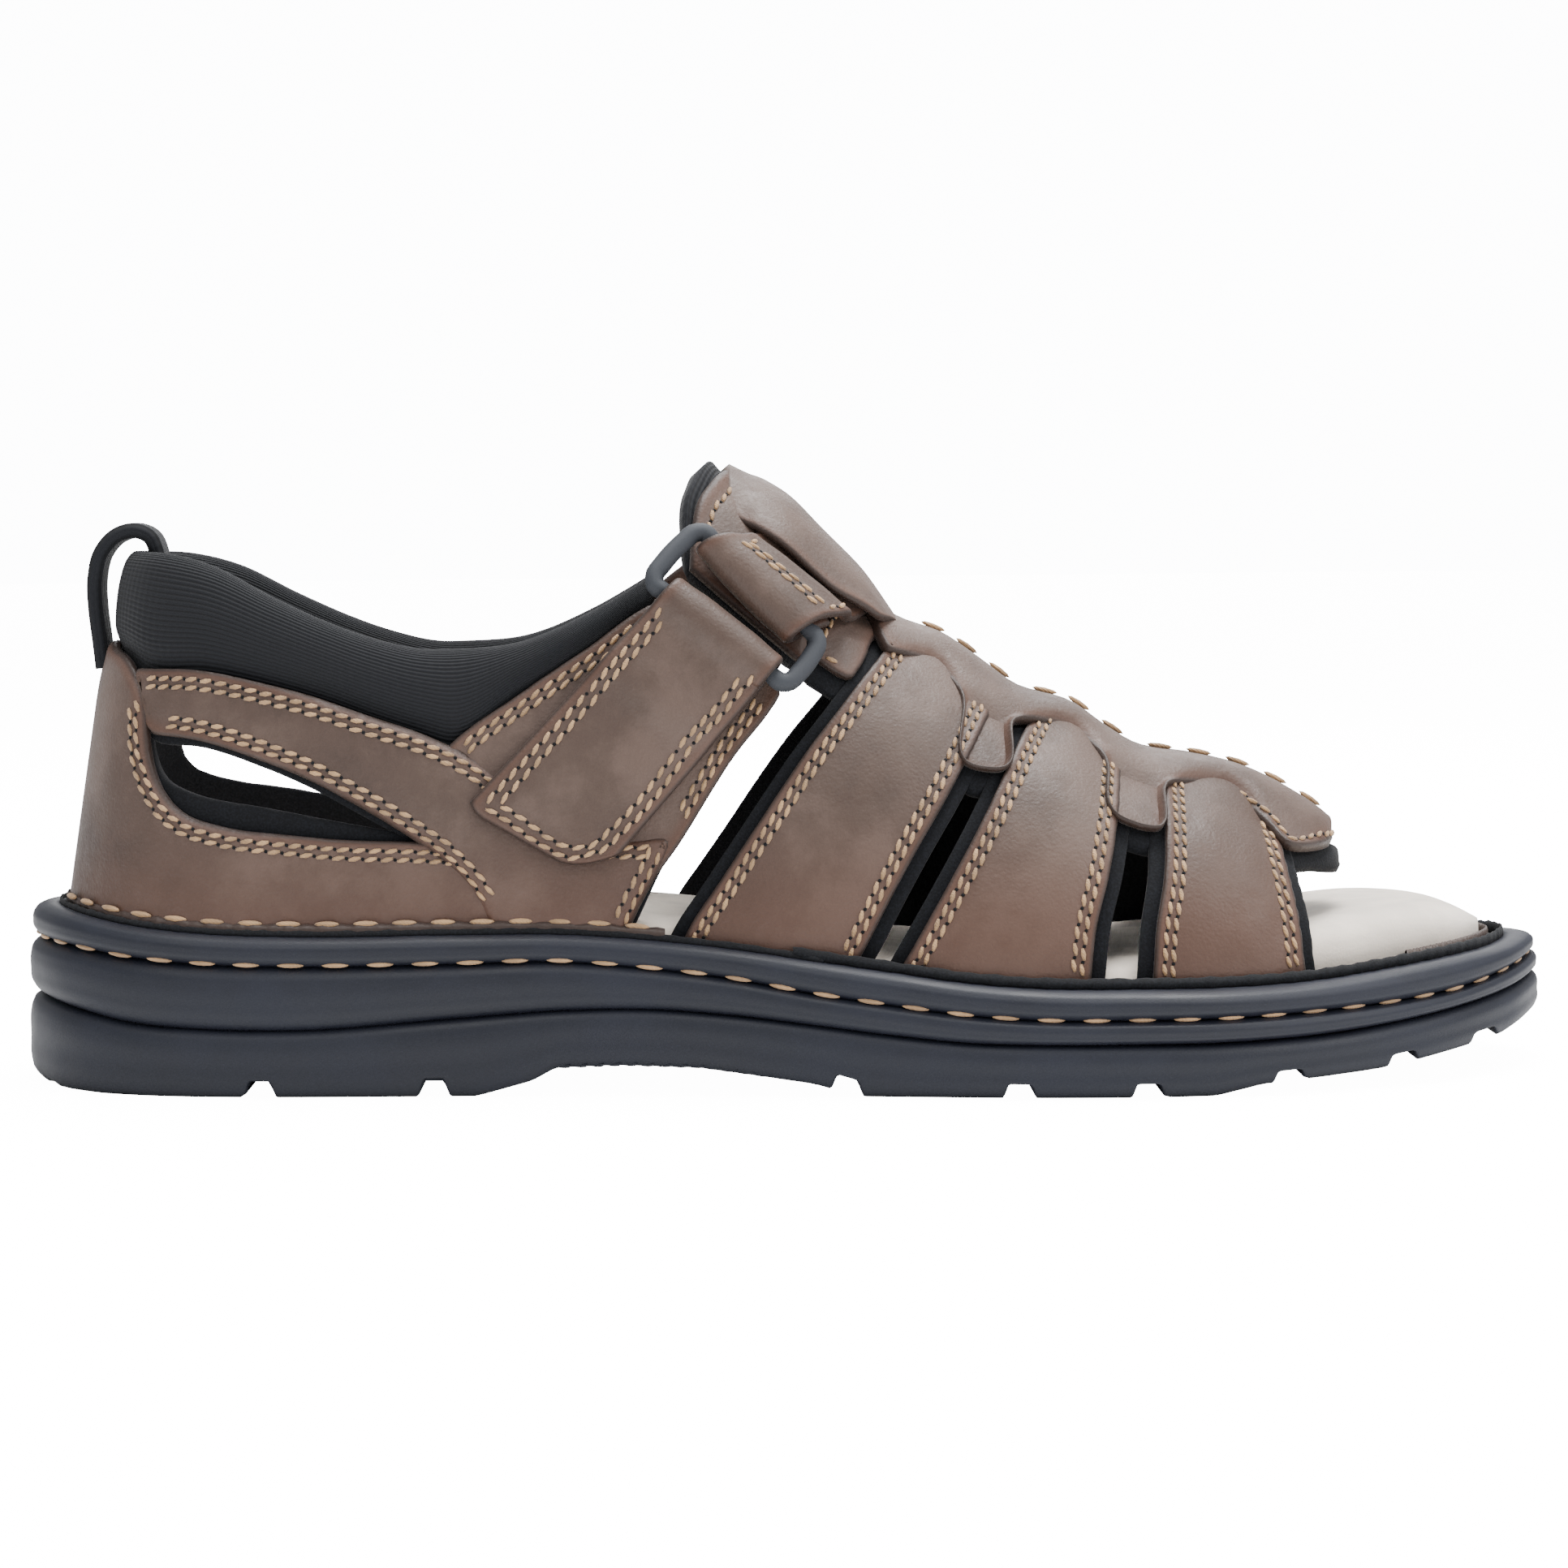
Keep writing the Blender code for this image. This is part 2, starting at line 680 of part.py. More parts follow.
def brace_place(run, across, lift):
    """Point of the instep strap, run metres from its fold, across 0 at the rear edge to 1."""
    rear = [smooth(BRACE, f"rear_{name}", run / BRACE_LENGTH, "run") for name in ("along", "climb")]
    front = [smooth(BRACE, f"front_{name}", run / BRACE_LENGTH, "run") for name in ("along", "climb")]
    along = rear[0] + (front[0] - rear[0]) * across
    climb = rear[1] + (front[1] - rear[1]) * across
    return on_last(along, -1, climb, lift)


def flap_place(run, across, lift):
    """Point of the closure strap, run metres from its fold, across 0 at the rear edge to 1."""
    fold_rear, fold_front, free_front, free_rear = [Vector(side_point(FLAP, i)) for i in range(4)]
    part = run / FLAP_LENGTH
    rear = fold_rear.lerp(free_rear, part) if part >= 0 else fold_rear + (free_rear - fold_rear) * part
    front = fold_front.lerp(free_front, part) if part >= 0 else fold_front + (free_front - fold_front) * part
    x, z = rear + (front - rear) * across
    return on_side(x, z, -1, lift)


def folded_path(tuck, outer):
    """Centre line of a strap round its bar: (run, lift) from the hidden end to the far end."""
    path = [(tuck, LAYER), ((tuck + BAR_BACK) / 2, LAYER)]
    for i in range(FOLD_STEPS + 1):
        angle = pi * i / FOLD_STEPS
        path.append((BAR_BACK - FOLD * sin(angle), BAR_LIFT - FOLD * cos(angle)))
    return path + list(outer)


def folded(path, rows, place, ends=lambda across: 1.0):
    """Strap of STRAP thickness along a path of (run, lift), laid on its place function."""
    def spot(u, v, k):
        i = round(u * (len(path) - 1))
        before, after = path[max(i - 1, 0)], path[min(i + 1, len(path) - 1)]
        run, lift = after[0] - before[0], after[1] - before[1]
        size = sqrt(run * run + lift * lift)
        out = (k - 0.5) * STRAP
        run_to = path[i][0] - lift / size * out
        return place(run_to * (ends(v) if i > FOLD_STEPS + 2 else 1.0), v, path[i][1] + run / size * out)
    return block(len(path) - 1, rows, spot)


# The closure strap over its own hidden end: run from the bar and lift over the second layer
FLAP_RISE = table("run lift", (0.009, 0.0008), (0.014, 0), (0.019, 0))
FLAP_DROP = 0.027
FLAP_STEPS = 6
# How much of the strap's length its free end's front and rear corners round off, and from where across
FRONT_CORNER = (0.13, 0.70)
REAR_CORNER = (0.03, 0.15)


def flap_end(across):
    front = max(0, (across - FRONT_CORNER[1]) / (1 - FRONT_CORNER[1]))
    rear = max(0, (REAR_CORNER[1] - across) / REAR_CORNER[1])
    return 1 - FRONT_CORNER[0] * front ** 2 - REAR_CORNER[0] * rear ** 2


def make_closure_strap(leather):
    outer = [(run, SECOND_LAYER + lift) for run, lift in zip(FLAP_RISE["run"], FLAP_RISE["lift"])]
    outer += [(FLAP_DROP + (FLAP_LENGTH - FLAP_DROP) * i / FLAP_STEPS, LAYER) for i in range(FLAP_STEPS + 1)]
    return add("closure_strap", folded(folded_path(FLAP_TUCK, outer), STRAP_ROWS, flap_place, flap_end), leather)


# Runs at which the instep strap passes over its own hidden end and drops to the last
BRACE_RISE = (0.0094, 0.0104)
BRACE_DROP = 0.013
BRACE_STEPS = 14
BRACE_OVER = 0.64


def make_instep_strap(leather):
    low = 1.5 * GAP + STRAP / 2
    outer = [(BRACE_RISE[0], SECOND_LAYER + GAP), (BRACE_RISE[1], SECOND_LAYER)]
    for i in range(BRACE_STEPS + 1):
        lift = low if i < BRACE_OVER * BRACE_STEPS else LAYER
        outer.append((BRACE_DROP + (BRACE_LENGTH - BRACE_DROP) * i / BRACE_STEPS, lift))
    return add("instep_strap", folded(folded_path(BRACE_TUCK, outer), STRAP_ROWS, brace_place), leather)


RING_OVERHANG = 0.15
RING_STEPS = 6
# A corner of the ring: share of the overhang against share of the way from bar to bar
RING_CORNER = ((0.55, 0), (0.90, 0.10), (1, 0.28))


def ring_point(across, part):
    """Point of the ring's line: part 0 on the closure strap's bar, 1 on the instep strap's."""
    near = flap_place(BAR_BACK, across, BAR_LIFT)
    return near.lerp(brace_place(BAR_BACK, across, BAR_LIFT), part)


def make_ring(plastic):
    """Slate ring whose two long bars lie in the folds of both straps."""
    curve = bpy.data.curves.new("ring_line", "CURVE")
    curve.dimensions = "3D"
    curve.bevel_depth = RING_BAR / 2
    curve.bevel_resolution = 2
    bar = [i / RING_STEPS for i in range(RING_STEPS + 1)]
    corner = [(1 + RING_OVERHANG * out, part) for out, part in RING_CORNER]
    half = [(across, 0) for across in bar] + corner + [(across, 1 - part) for across, part in corner[::-1]]
    path = [ring_point(across, part) for across, part in half]
    path += [ring_point(1 - across, 1 - part) for across, part in half]
    line = curve.splines.new("POLY")
    line.points.add(len(path) - 1)
    for spot, point in zip(path, line.points):
        point.co = (*spot, 1)
    line.use_cyclic_u = True
    holder = bpy.data.objects.new("ring_line", curve)
    parts.objects.link(holder)
    graph = bpy.context.evaluated_depsgraph_get()
    mesh = bpy.data.meshes.new_from_object(holder.evaluated_get(graph))
    bpy.data.objects.remove(holder)
    work = bmesh.new()
    work.from_mesh(mesh)
    bmesh.ops.remove_doubles(work, verts=work.verts, dist=1e-6)
    return add("ring", work, plastic)


# The tongue: its rear edge, climb against place along, and the keeper bridge over the strap
TONGUE_EDGE = table(
    "climb along",
    (0.510, 0.4375), (0.550, 0.4385), (0.640, 0.4420), (0.770, 0.4530), (0.890, 0.4610), (1, 0.4655),
    (1.110, 0.4610), (1.230, 0.4530), (1.360, 0.4420), (1.450, 0.4385), (1.490, 0.4375))
TONGUE_FRONT = 0.511
BRIDGE_EDGE = 0.715
RIDGE = 1
PAD_SHOW = 0.008
PAD_FRONT = 0.004
PAD_TUCK = 0.35
BRIDGE = table(
    "part along lift",
    (0, 0.4625, -0.34),
    (0.12, 0.4710, 0.55),
    (0.24, 0.478, 1.00),
    (0.50, 0.510, 1.00),
    (0.80, 0.545, 0.95),
    (0.90, 0.557, 0.75),
    (1, 0.570, 0.55))


def make_tongue(leather):
    """Saddle of leather with a bridge raised over the instep strap, open at both sides."""
    low, high = TONGUE_EDGE["climb"][0], TONGUE_EDGE["climb"][-1]

    def saddle(u, v, k):
        climb = low + (high - low) * u
        rear = smooth(TONGUE_EDGE, "along", climb, "climb")
        return on_last(rear + (TONGUE_FRONT - rear) * v, -1, climb, (k - 1) * LEATHER)

    def bridge(u, v, k):
        climb = RIDGE + (RIDGE - BRIDGE_EDGE) * (2 * u - 1)
        lift = smooth(BRIDGE, "lift", v, "part") * KEEPER_LIFT + k * LEATHER
        return on_last(smooth(BRIDGE, "along", v, "part"), -1, climb, lift)
    made = add("tongue", block(12, 4, saddle), leather)
    boolean(made, "UNION", add("bridge", block(8, 10, bridge), cutter=True))
    return made


def make_tongue_pad(knit):
    low, high = TONGUE_EDGE["climb"][0], TONGUE_EDGE["climb"][-1]
    top = -LEATHER - GAP

    def pad(u, v, k):
        climb = low + (high - low) * u
        rear = smooth(TONGUE_EDGE, "along", climb, "climb") - PAD_SHOW * sin(pi * u)
        tuck = PAD_TUCK * (1 - sin(pi * min(max(v, 0), 1)) ** 0.5)
        lift = top - (1 - k) * TONGUE_PADDING
        lift += TONGUE_PADDING * tuck * (0.5 - k)
        return on_last(rear + (TONGUE_FRONT - PAD_FRONT - rear) * v, -1, climb, lift)
    return add("tongue_pad", block(12, 4, pad), knit)


# Pull loop: centre line from the collar's back over to its inside, metres from the heel's end
# and shares of COLLAR_HEIGHT
LOOP = table(
    "fore up",
    (0.01578, 0.835), (0.01485, 0.893), (0.01470, 0.951), (0.01600, 1.000), (0.01900, 1.033),
    (0.02270, 1.041), (0.02540, 1.029), (0.02662, 1.003), (0.02670, 0.966))


def make_pull_loop(webbing):
    points = [Vector((fore - LENGTH / 2, 0, up * COLLAR_HEIGHT)) for fore, up in zip(LOOP["fore"], LOOP["up"])]
    count = len(points) - 1

    def strip(u, v, k):
        i = round(u * count)
        run = (points[min(i + 1, count)] - points[max(i - 1, 0)]).normalized()
        side = Vector((0, (v - 0.5) * LOOP_WIDTH, 0))
        return points[i] + side + Vector((-run.z, 0, run.x)) * (k - 0.5) * WEBBING
    return add("pull_loop", block(count, 2, strip), webbing)


def main():
    start()
    rubber = material("rubber", (0.045, 0.052, 0.070), 0.55)
    leather = material("leather", (0.165, 0.095, 0.065), 0.60)
    knit = material("knit", (0.012, 0.013, 0.016), 0.85)
    suede = material("suede", (0.720, 0.640, 0.540), 0.90)
    plastic = material("plastic", (0.030, 0.034, 0.045), 0.45)
    webbing = material("webbing", (0.010, 0.010, 0.012), 0.90)
    make_outsole(rubber)
    make_midsole(rubber)
    make_welt(rubber)
    make_footbed(suede)
    make_upper(leather)
    make_collar(knit)
    make_tongue(leather)
    make_tongue_pad(knit)
    make_instep_strap(leather)
    make_closure_strap(leather)
    make_ring(plastic)
    make_pull_loop(webbing)


main()
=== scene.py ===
"""Looks of the fisherman sandal: leather panels, stitching, padding and rubber dressed on its frame.
Right shoe, toe towards +X, outer side towards -Y. Metres."""

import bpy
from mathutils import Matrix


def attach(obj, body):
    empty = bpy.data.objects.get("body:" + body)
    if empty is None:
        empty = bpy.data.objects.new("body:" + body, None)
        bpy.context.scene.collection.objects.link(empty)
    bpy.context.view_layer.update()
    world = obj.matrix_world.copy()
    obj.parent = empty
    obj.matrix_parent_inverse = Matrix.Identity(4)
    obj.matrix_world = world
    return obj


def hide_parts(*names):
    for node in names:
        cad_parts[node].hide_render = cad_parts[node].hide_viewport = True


bl_info = {
    "name": "Fisherman Sandal",
    "version": (1, 0, 0),
    "blender": (4, 5, 0),
    "location": "3D View > Sidebar > Sandal",
    "description": "Builds a strapped leather sandal on a stitched rubber unit",
    "category": "Object",
}

from math import acos, cos, pi, radians, sin

import bmesh
import bpy
import numpy as np
from bpy.props import FloatProperty, FloatVectorProperty, PointerProperty
from mathutils import Matrix, Vector
from mathutils.bvhtree import BVHTree

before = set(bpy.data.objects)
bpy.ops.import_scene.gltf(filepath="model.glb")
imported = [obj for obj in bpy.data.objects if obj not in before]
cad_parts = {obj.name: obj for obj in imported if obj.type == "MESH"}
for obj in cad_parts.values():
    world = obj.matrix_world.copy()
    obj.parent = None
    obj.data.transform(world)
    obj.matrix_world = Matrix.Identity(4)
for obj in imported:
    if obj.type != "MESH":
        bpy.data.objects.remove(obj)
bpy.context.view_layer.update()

# Driving dimensions
LENGTH = 0.300
BALL_WIDTH = 0.104
SOLE_HEIGHT = 0.0306
INSTEP_HEIGHT = 0.119
COLLAR_HEIGHT = 0.103
RAND_WIDTH = 0.0085
LEATHER = 0.0017
LINING = 0.0046
PADDING = 0.0058
GAP = 0.0003
OVERLAY = 0.0011
RING_BAR = 0.0026
WEBBING = 0.0018
LOOP_WIDTH = 0.0095
STRAP = 0.0019


def table(names, *rows):
    """Rows of numbers under named columns, the first column running along the shoe."""
    return dict(zip(names.split(), np.array(rows, float).T))


# Half widths, shares of BALL_WIDTH, along shares of LENGTH
PLAN = table(
    "along lateral medial",
    (0, 0, 0),
    (0.010, 0.130, 0.130),
    (0.033, 0.235, 0.225),
    (0.083, 0.325, 0.310),
    (0.150, 0.365, 0.350),
    (0.250, 0.380, 0.355),
    (0.370, 0.385, 0.325),
    (0.470, 0.408, 0.315),
    (0.570, 0.455, 0.355),
    (0.660, 0.491, 0.420),
    (0.740, 0.494, 0.481),
    (0.817, 0.448, 0.4945),
    (0.883, 0.365, 0.452),
    (0.933, 0.265, 0.382),
    (0.970, 0.150, 0.280),
    (0.992, 0.030, 0.175),
    (1, -0.067, 0.067))
# Heights of the sole's seams and of the footbed, shares of SOLE_HEIGHT
SEAMS = table(
    "along groove stitch rand bed",
    (0, 0.582, 0.941, 1.160, 1.160),
    (0.040, 0.523, 0.915, 1.110, 1.150),
    (0.077, 0.458, 0.869, 1.056, 1.130),
    (0.130, 0.422, 0.830, 1.010, 1.100),
    (0.190, 0.418, 0.817, 0.993, 1.085),
    (0.287, 0.487, 0.827, 1.000, 1.090),
    (0.353, 0.529, 0.837, 0.997, 1.095),
    (0.407, 0.536, 0.794, 0.961, 1.085),
    (0.460, 0.500, 0.729, 0.905, 1.030),
    (0.513, 0.441, 0.634, 0.830, 0.940),
    (0.560, 0.386, 0.569, 0.765, 0.850),
    (0.610, 0.340, 0.507, 0.696, 0.805),
    (0.657, 0.330, 0.477, 0.662, 0.795),
    (0.720, 0.330, 0.474, 0.654, 0.795),
    (0.767, 0.330, 0.474, 0.650, 0.830),
    (0.837, 0.356, 0.497, 0.673, 0.960),
    (0.887, 0.402, 0.523, 0.719, 1.020),
    (0.933, 0.461, 0.569, 0.758, 1.000),
    (0.967, 0.516, 0.637, 0.784, 0.930),
    (1, 0.582, 0.712, 0.833, 0.850))
# Rise of the tread above the floor, shares of SOLE_HEIGHT
TREAD = table(
    "along rise",
    (0, 0.040),
    (0.025, 0.007),
    (0.060, 0),
    (0.300, 0),
    (0.335, 0.092),
    (0.350, 0.173),
    (0.390, 0.186),
    (0.440, 0.170),
    (0.477, 0.121),
    (0.513, 0.072),
    (0.540, 0),
    (0.763, 0),
    (0.793, 0.060),
    (0.870, 0.108),
    (0.897, 0.140),
    (0.930, 0.186),
    (0.963, 0.232),
    (0.987, 0.300),
    (1, 0.337))
NOTCHES = (0.163, 0.273, 0.533, 0.640, 0.720, 0.810, 0.887, 0.947)
# The last: ridge in shares of INSTEP_HEIGHT, lean and round as powers of the section
LAST = table(
    "along ridge lean round",
    (0, 1.72, 2.6, 1.00),
    (0.130, 1.72, 2.6, 1.00),
    (0.230, 1.60, 2.3, 1.00),
    (0.330, 1.37, 1.8, 1.00),
    (0.400, 1.176, 1.35, 1.00),
    (0.467, 0.983, 1.10, 0.98),
    (0.533, 0.811, 1.00, 0.95),
    (0.573, 0.723, 0.95, 0.93),
    (0.650, 0.618, 0.92, 0.92),
    (0.727, 0.525, 0.90, 0.90),
    (0.800, 0.458, 0.90, 0.90),
    (0.850, 0.399, 0.90, 0.90),
    (0.900, 0.345, 0.90, 0.90))
HEEL_LEAN = 0.155
HEEL_LEAN_END = 0.20
# Leather's top line at heel and quarter, and the collar's own top line, from the side
TOP_LINE = table(
    "along leather collar",
    (0, 0.700, 0.870),
    (0.068, 0.700, 0.870),
    (0.085, 0.680, 0.868),
    (0.127, 0.676, 0.845),
    (0.170, 0.655, 0.795),
    (0.205, 0.630, 0.757),
    (0.235, 0.602, 0.730),
    (0.267, 0.575, 0.712),
    (0.287, 0.562, 0.712),
    (0.328, 0.635, 0.722),
    (0.370, 0.705, 0.765),
    (0.405, 0.768, 0.815),
    (0.440, 0.820, 0.870))


def smooth(columns, name, at, key="along"):
    """Cubic through a table's rows, its slopes taken from neighbouring rows."""
    xs, ys = columns[key], columns[name]
    at = np.clip(at, xs[0], xs[-1])
    i = np.clip(np.searchsorted(xs, at) - 1, 0, len(xs) - 2)
    h = xs[i + 1] - xs[i]
    u = (at - xs[i]) / h
    slopes = np.gradient(ys, xs)
    return ((2 * u**3 - 3 * u**2 + 1) * ys[i] + (u**3 - 2 * u**2 + u) * h * slopes[i]
            + (3 * u**2 - 2 * u**3) * ys[i + 1] + (u**3 - u**2) * h * slopes[i + 1])


def turn(a):
    """Angle that runs evenly round the blunt ends of the sole as the share a grows."""
    return np.arccos(1 - 2 * np.clip(a, 0, 1))


PLAN["turn"] = turn(PLAN["along"])


def plan(a, side, inset=0.0):
    """Place on the sole's outline at share a; side -1 is the outer side, +1 the inner, 0 the middle."""
    lateral = smooth(PLAN, "lateral", turn(a), "turn") * BALL_WIDTH
    medial = smooth(PLAN, "medial", turn(a), "turn") * BALL_WIDTH
    half = (medial + lateral) / 2 * (1 - inset / (BALL_WIDTH / 2))
    return (a - 0.5) * (LENGTH - 2 * inset), (medial - lateral) / 2 + side * half


def share(x):
    """Share along the shoe of a place x."""
    return np.clip(x / LENGTH + 0.5, 0, 1)


def seam(name, x):
    return smooth(SEAMS, name, share(x)) * SOLE_HEIGHT


def tread(x):
    return np.interp(share(x), TREAD["along"], TREAD["rise"]) * SOLE_HEIGHT


def ease(low, high, at):
    """0 below low, 1 above high, smooth between."""
    u = np.clip((at - low) / (high - low), 0, 1)
    return u * u * (3 - 2 * u)


# The last's own coordinates: walk round the feather line from the heel (outer side below 0),
# and climb from the feather line, in girths, which passes 1 at the ridge and goes on down the other side
TURNS = np.linspace(0, pi, 400)
EDGE_X, EDGE_Y = plan((1 - np.cos(TURNS)) / 2, -1, RAND_WIDTH)
WALKED = np.concatenate([[0], np.cumsum(np.hypot(np.diff(EDGE_X), np.diff(EDGE_Y)))])


def walk_at(a):
    return np.interp(turn(a), TURNS, WALKED)


def share_at(walk):
    return (1 - np.cos(np.interp(np.abs(walk), WALKED, TURNS))) / 2


def last_point(walk, climb):
    side = np.where(walk < 0, -1, 1) * np.where(climb > 1, -1, 1)
    climb = np.where(climb > 1, 2 - climb, climb)
    a = share_at(walk)
    x, y = plan(a, side, RAND_WIDTH)
    middle = plan(a, 0, RAND_WIDTH)[1]
    low = seam("stitch", x) + 2 * GAP
    ridge = smooth(LAST, "ridge", a) * INSTEP_HEIGHT
    angle = np.clip(climb, 0, 1) * pi / 2
    z = low + (ridge - low) * np.sin(angle) ** smooth(LAST, "round", a)
    reach = np.maximum(np.cos(angle), 0) ** smooth(LAST, "lean", a)
    lean = HEEL_LEAN * np.maximum(0, 1 - a / HEEL_LEAN_END) * (z - low)
    return np.stack([x + lean, middle * (1 - climb) + (y - middle) * reach, z], -1)


def section_girths(walks):
    """Length of the last's section from the feather line to the ridge at each walk."""
    climbs = np.linspace(0, 1, 60)
    lines = [last_point(np.full(60, -max(walk, 1e-6)), climbs) for walk in walks]
    return np.array([np.linalg.norm(np.diff(line, axis=0), axis=1).sum() for line in lines])


GIRTHS = section_girths(WALKED)


def girth(walk):
    return np.interp(np.abs(walk), WALKED, GIRTHS)


STEP_WALK = 0.0015
STEP_CLIMB = 0.012


def last_normal(walk, climb):
    along = last_point(walk + STEP_WALK, climb) - last_point(walk - STEP_WALK, climb)
    low = np.maximum(climb - STEP_CLIMB, 0)
    up = last_point(walk, climb + STEP_CLIMB) - last_point(walk, low)
    normal = np.cross(up, along)
    return normal / np.linalg.norm(normal, axis=-1, keepdims=True)


def on_last(flat, lift=0.0):
    """Points of the last at pairs of walk and climb (in metres), lifted off it."""
    walk, climb = flat[..., 0], flat[..., 1] / girth(flat[..., 0])
    walk = np.where(np.abs(walk) < 1e-7, 1e-7, walk)
    lift = np.broadcast_to(lift, walk.shape)
    return last_point(walk, climb) + last_normal(walk, climb) * lift[..., None]


def climb_to(a, z):
    low = seam("stitch", plan(a, 0, RAND_WIDTH)[0]) + 2 * GAP
    ridge = smooth(LAST, "ridge", a) * INSTEP_HEIGHT
    part = np.clip((z - low) / (ridge - low), 0, 1)
    return np.arcsin(part ** (1 / smooth(LAST, "round", a))) / (pi / 2)


def seen(points, side=-1):
    """Pairs (along, up) seen from the side, as pairs of walk and climb on the last."""
    along, up = np.array(points, float).T
    x, z = (along - 0.5) * LENGTH, up * INSTEP_HEIGHT
    span = LENGTH - 2 * RAND_WIDTH
    rise = z - seam("stitch", x)
    slope = HEEL_LEAN * rise / HEEL_LEAN_END
    leaning = (x + span / 2 - HEEL_LEAN * rise) / (span - slope)
    a = np.where(leaning < HEEL_LEAN_END, leaning, x / span + 0.5)
    a = np.clip(a, 0, 1)
    walk = side * walk_at(a)
    return np.stack([walk, climb_to(a, z) * girth(walk)], -1)


def from_above(points):
    """Pairs (along, half) seen from above, half in shares of BALL_WIDTH towards the outer side."""
    found = []
    climbs = np.linspace(0, 1, 200)
    for along, half in points:
        a = (along - 0.5) * LENGTH / (LENGTH - 2 * RAND_WIDTH) + 0.5
        walk = -walk_at(a)
        ys = last_point(np.full(200, walk), climbs)[:, 1]
        middle = ys[-1]
        climb = np.interp(half * BALL_WIDTH, (middle - ys)[::-1], climbs[::-1])
        found.append((walk, climb * girth(walk)))
    return np.array(found)


def other_side(flat):
    """The same places on the other side of the shoe, past the ridge."""
    return np.stack([flat[:, 0], 2 * girth(flat[:, 0]) - flat[:, 1]], -1)


def curve_through(points, spacing=0.0015):
    """Smooth line through a few points, in even steps."""
    points = np.asarray(points, float)
    if len(points) == 2:
        count = max(2, int(np.linalg.norm(points[1] - points[0]) / spacing))
        return points[0] + (points[1] - points[0]) * np.linspace(0, 1, count + 1)[:, None]
    run = np.concatenate([[0], np.cumsum(np.linalg.norm(np.diff(points, axis=0), axis=1))])
    columns = {"run": run} | {str(i): points[:, i] for i in range(points.shape[1])}
    at = np.linspace(0, run[-1], max(3, int(run[-1] / spacing)) + 1)
    return np.stack([smooth(columns, str(i), at, "run") for i in range(points.shape[1])], -1)


def evenly(path, pitch, start=0.0, end=0.0):
    """Points at an even pitch along a dense line, and the line's direction there."""
    run = np.concatenate([[0], np.cumsum(np.linalg.norm(np.diff(path, axis=0), axis=1))])
    count = max(1, int((run[-1] - start - end) / pitch))
    at = start + (run[-1] - start - end) * (np.arange(count) + 0.5) / count
    places = np.stack([np.interp(at, run, path[:, i]) for i in range(path.shape[1])], -1)
    ahead = np.stack([np.interp(at + pitch / 3, run, path[:, i]) for i in range(path.shape[1])], -1)
    behind = np.stack([np.interp(at - pitch / 3, run, path[:, i]) for i in range(path.shape[1])], -1)
    along = ahead - behind
    return places, along / np.linalg.norm(along, axis=1, keepdims=True)


# Making pieces
def keep(name, work, finish, slot, replaces=None):
    """Object from a bmesh, riding on the frame."""
    mesh = bpy.data.meshes.new(name)
    work.to_mesh(mesh)
    work.free()
    mesh.shade_smooth()
    made = bpy.data.objects.new(name, mesh)
    bpy.context.scene.collection.objects.link(made)
    mesh.materials.append(finish)
    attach(made, "root")
    if replaces:
        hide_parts(*([replaces] if isinstance(replaces, str) else replaces))
    return made


def corners(mesh):
    places = np.empty(len(mesh.vertices) * 3)
    mesh.vertices.foreach_get("co", places)
    return places.reshape(-1, 3)


def put(mesh, places):
    mesh.vertices.foreach_set("co", np.ascontiguousarray(places, float).ravel())
    mesh.update()


def face_out(mesh):
    work = bmesh.new()
    work.from_mesh(mesh)
    bmesh.ops.recalc_face_normals(work, faces=work.faces)
    work.to_mesh(mesh)
    work.free()
    mesh.shade_smooth()


def mark(mesh, name, values):
    """Number on every corner point, for the materials."""
    layer = mesh.attributes.new(name, "FLOAT", "POINT")
    layer.data.foreach_set("value", np.ascontiguousarray(values, np.float32))


def sheet_grid(columns, rows):
    """Flat sheet with corners from 0 to 1 both ways."""
    work = bmesh.new()
    bmesh.ops.create_grid(work, x_segments=columns, y_segments=rows, size=0.5)
    bmesh.ops.translate(work, verts=work.verts, vec=(0.5, 0.5, 0))
    return work


def shaped(name, work, place, finish, slot, replaces=None, weld=True, cloth=None, rim=None):
    """Piece whose flat sheet's corners (u, v, k) are put in space by place(u, v, k).
    cloth(u, v) gives its UV map in metres and rim(u, v) how far each corner is from an edge."""
    made = keep(name, work, finish, slot, replaces)
    u, v, k = corners(made.data).T
    if cloth:
        across = np.stack(cloth(u, v), -1)
        layer = made.data.uv_layers.new(name="cloth")
        ends = np.empty(len(made.data.loops), int)
        made.data.loops.foreach_get("vertex_index", ends)
        layer.data.foreach_set("uv", np.ascontiguousarray(across[ends], np.float32).ravel())
    put(made.data, place(u, v, k))
    if rim:
        mark(made.data, "edge", np.clip(rim(u, v) / 0.008, 0, 1))
    if weld:
        work = bmesh.new()
        work.from_mesh(made.data)
        bmesh.ops.remove_doubles(work, verts=work.verts, dist=2e-6)
        work.to_mesh(made.data)
        work.free()
    face_out(made.data)
    return made


def thick(work):
    """Gives a flat sheet a second skin at k = 1, closed round its rim."""
    swept = bmesh.ops.extrude_face_region(work, geom=work.faces[:], use_keep_orig=True)["geom"]
    moved = [v for v in swept if isinstance(v, bmesh.types.BMVert)]
    bmesh.ops.translate(work, verts=moved, vec=(0, 0, 1))
    return work


class Edge:
    """A finished edge of a panel: its line in space, the way into the leather, and the leather's surface."""

    def __init__(self, line, inward, tree):
        self.line, self.inward, self.tree = line, inward, tree

    def inside(self, inset, low=0.0, high=1.0):
        first, last = int(low * (len(self.line) - 1)), int(high * (len(self.line) - 1)) + 1
        return (self.line + self.inward * inset)[first:last]


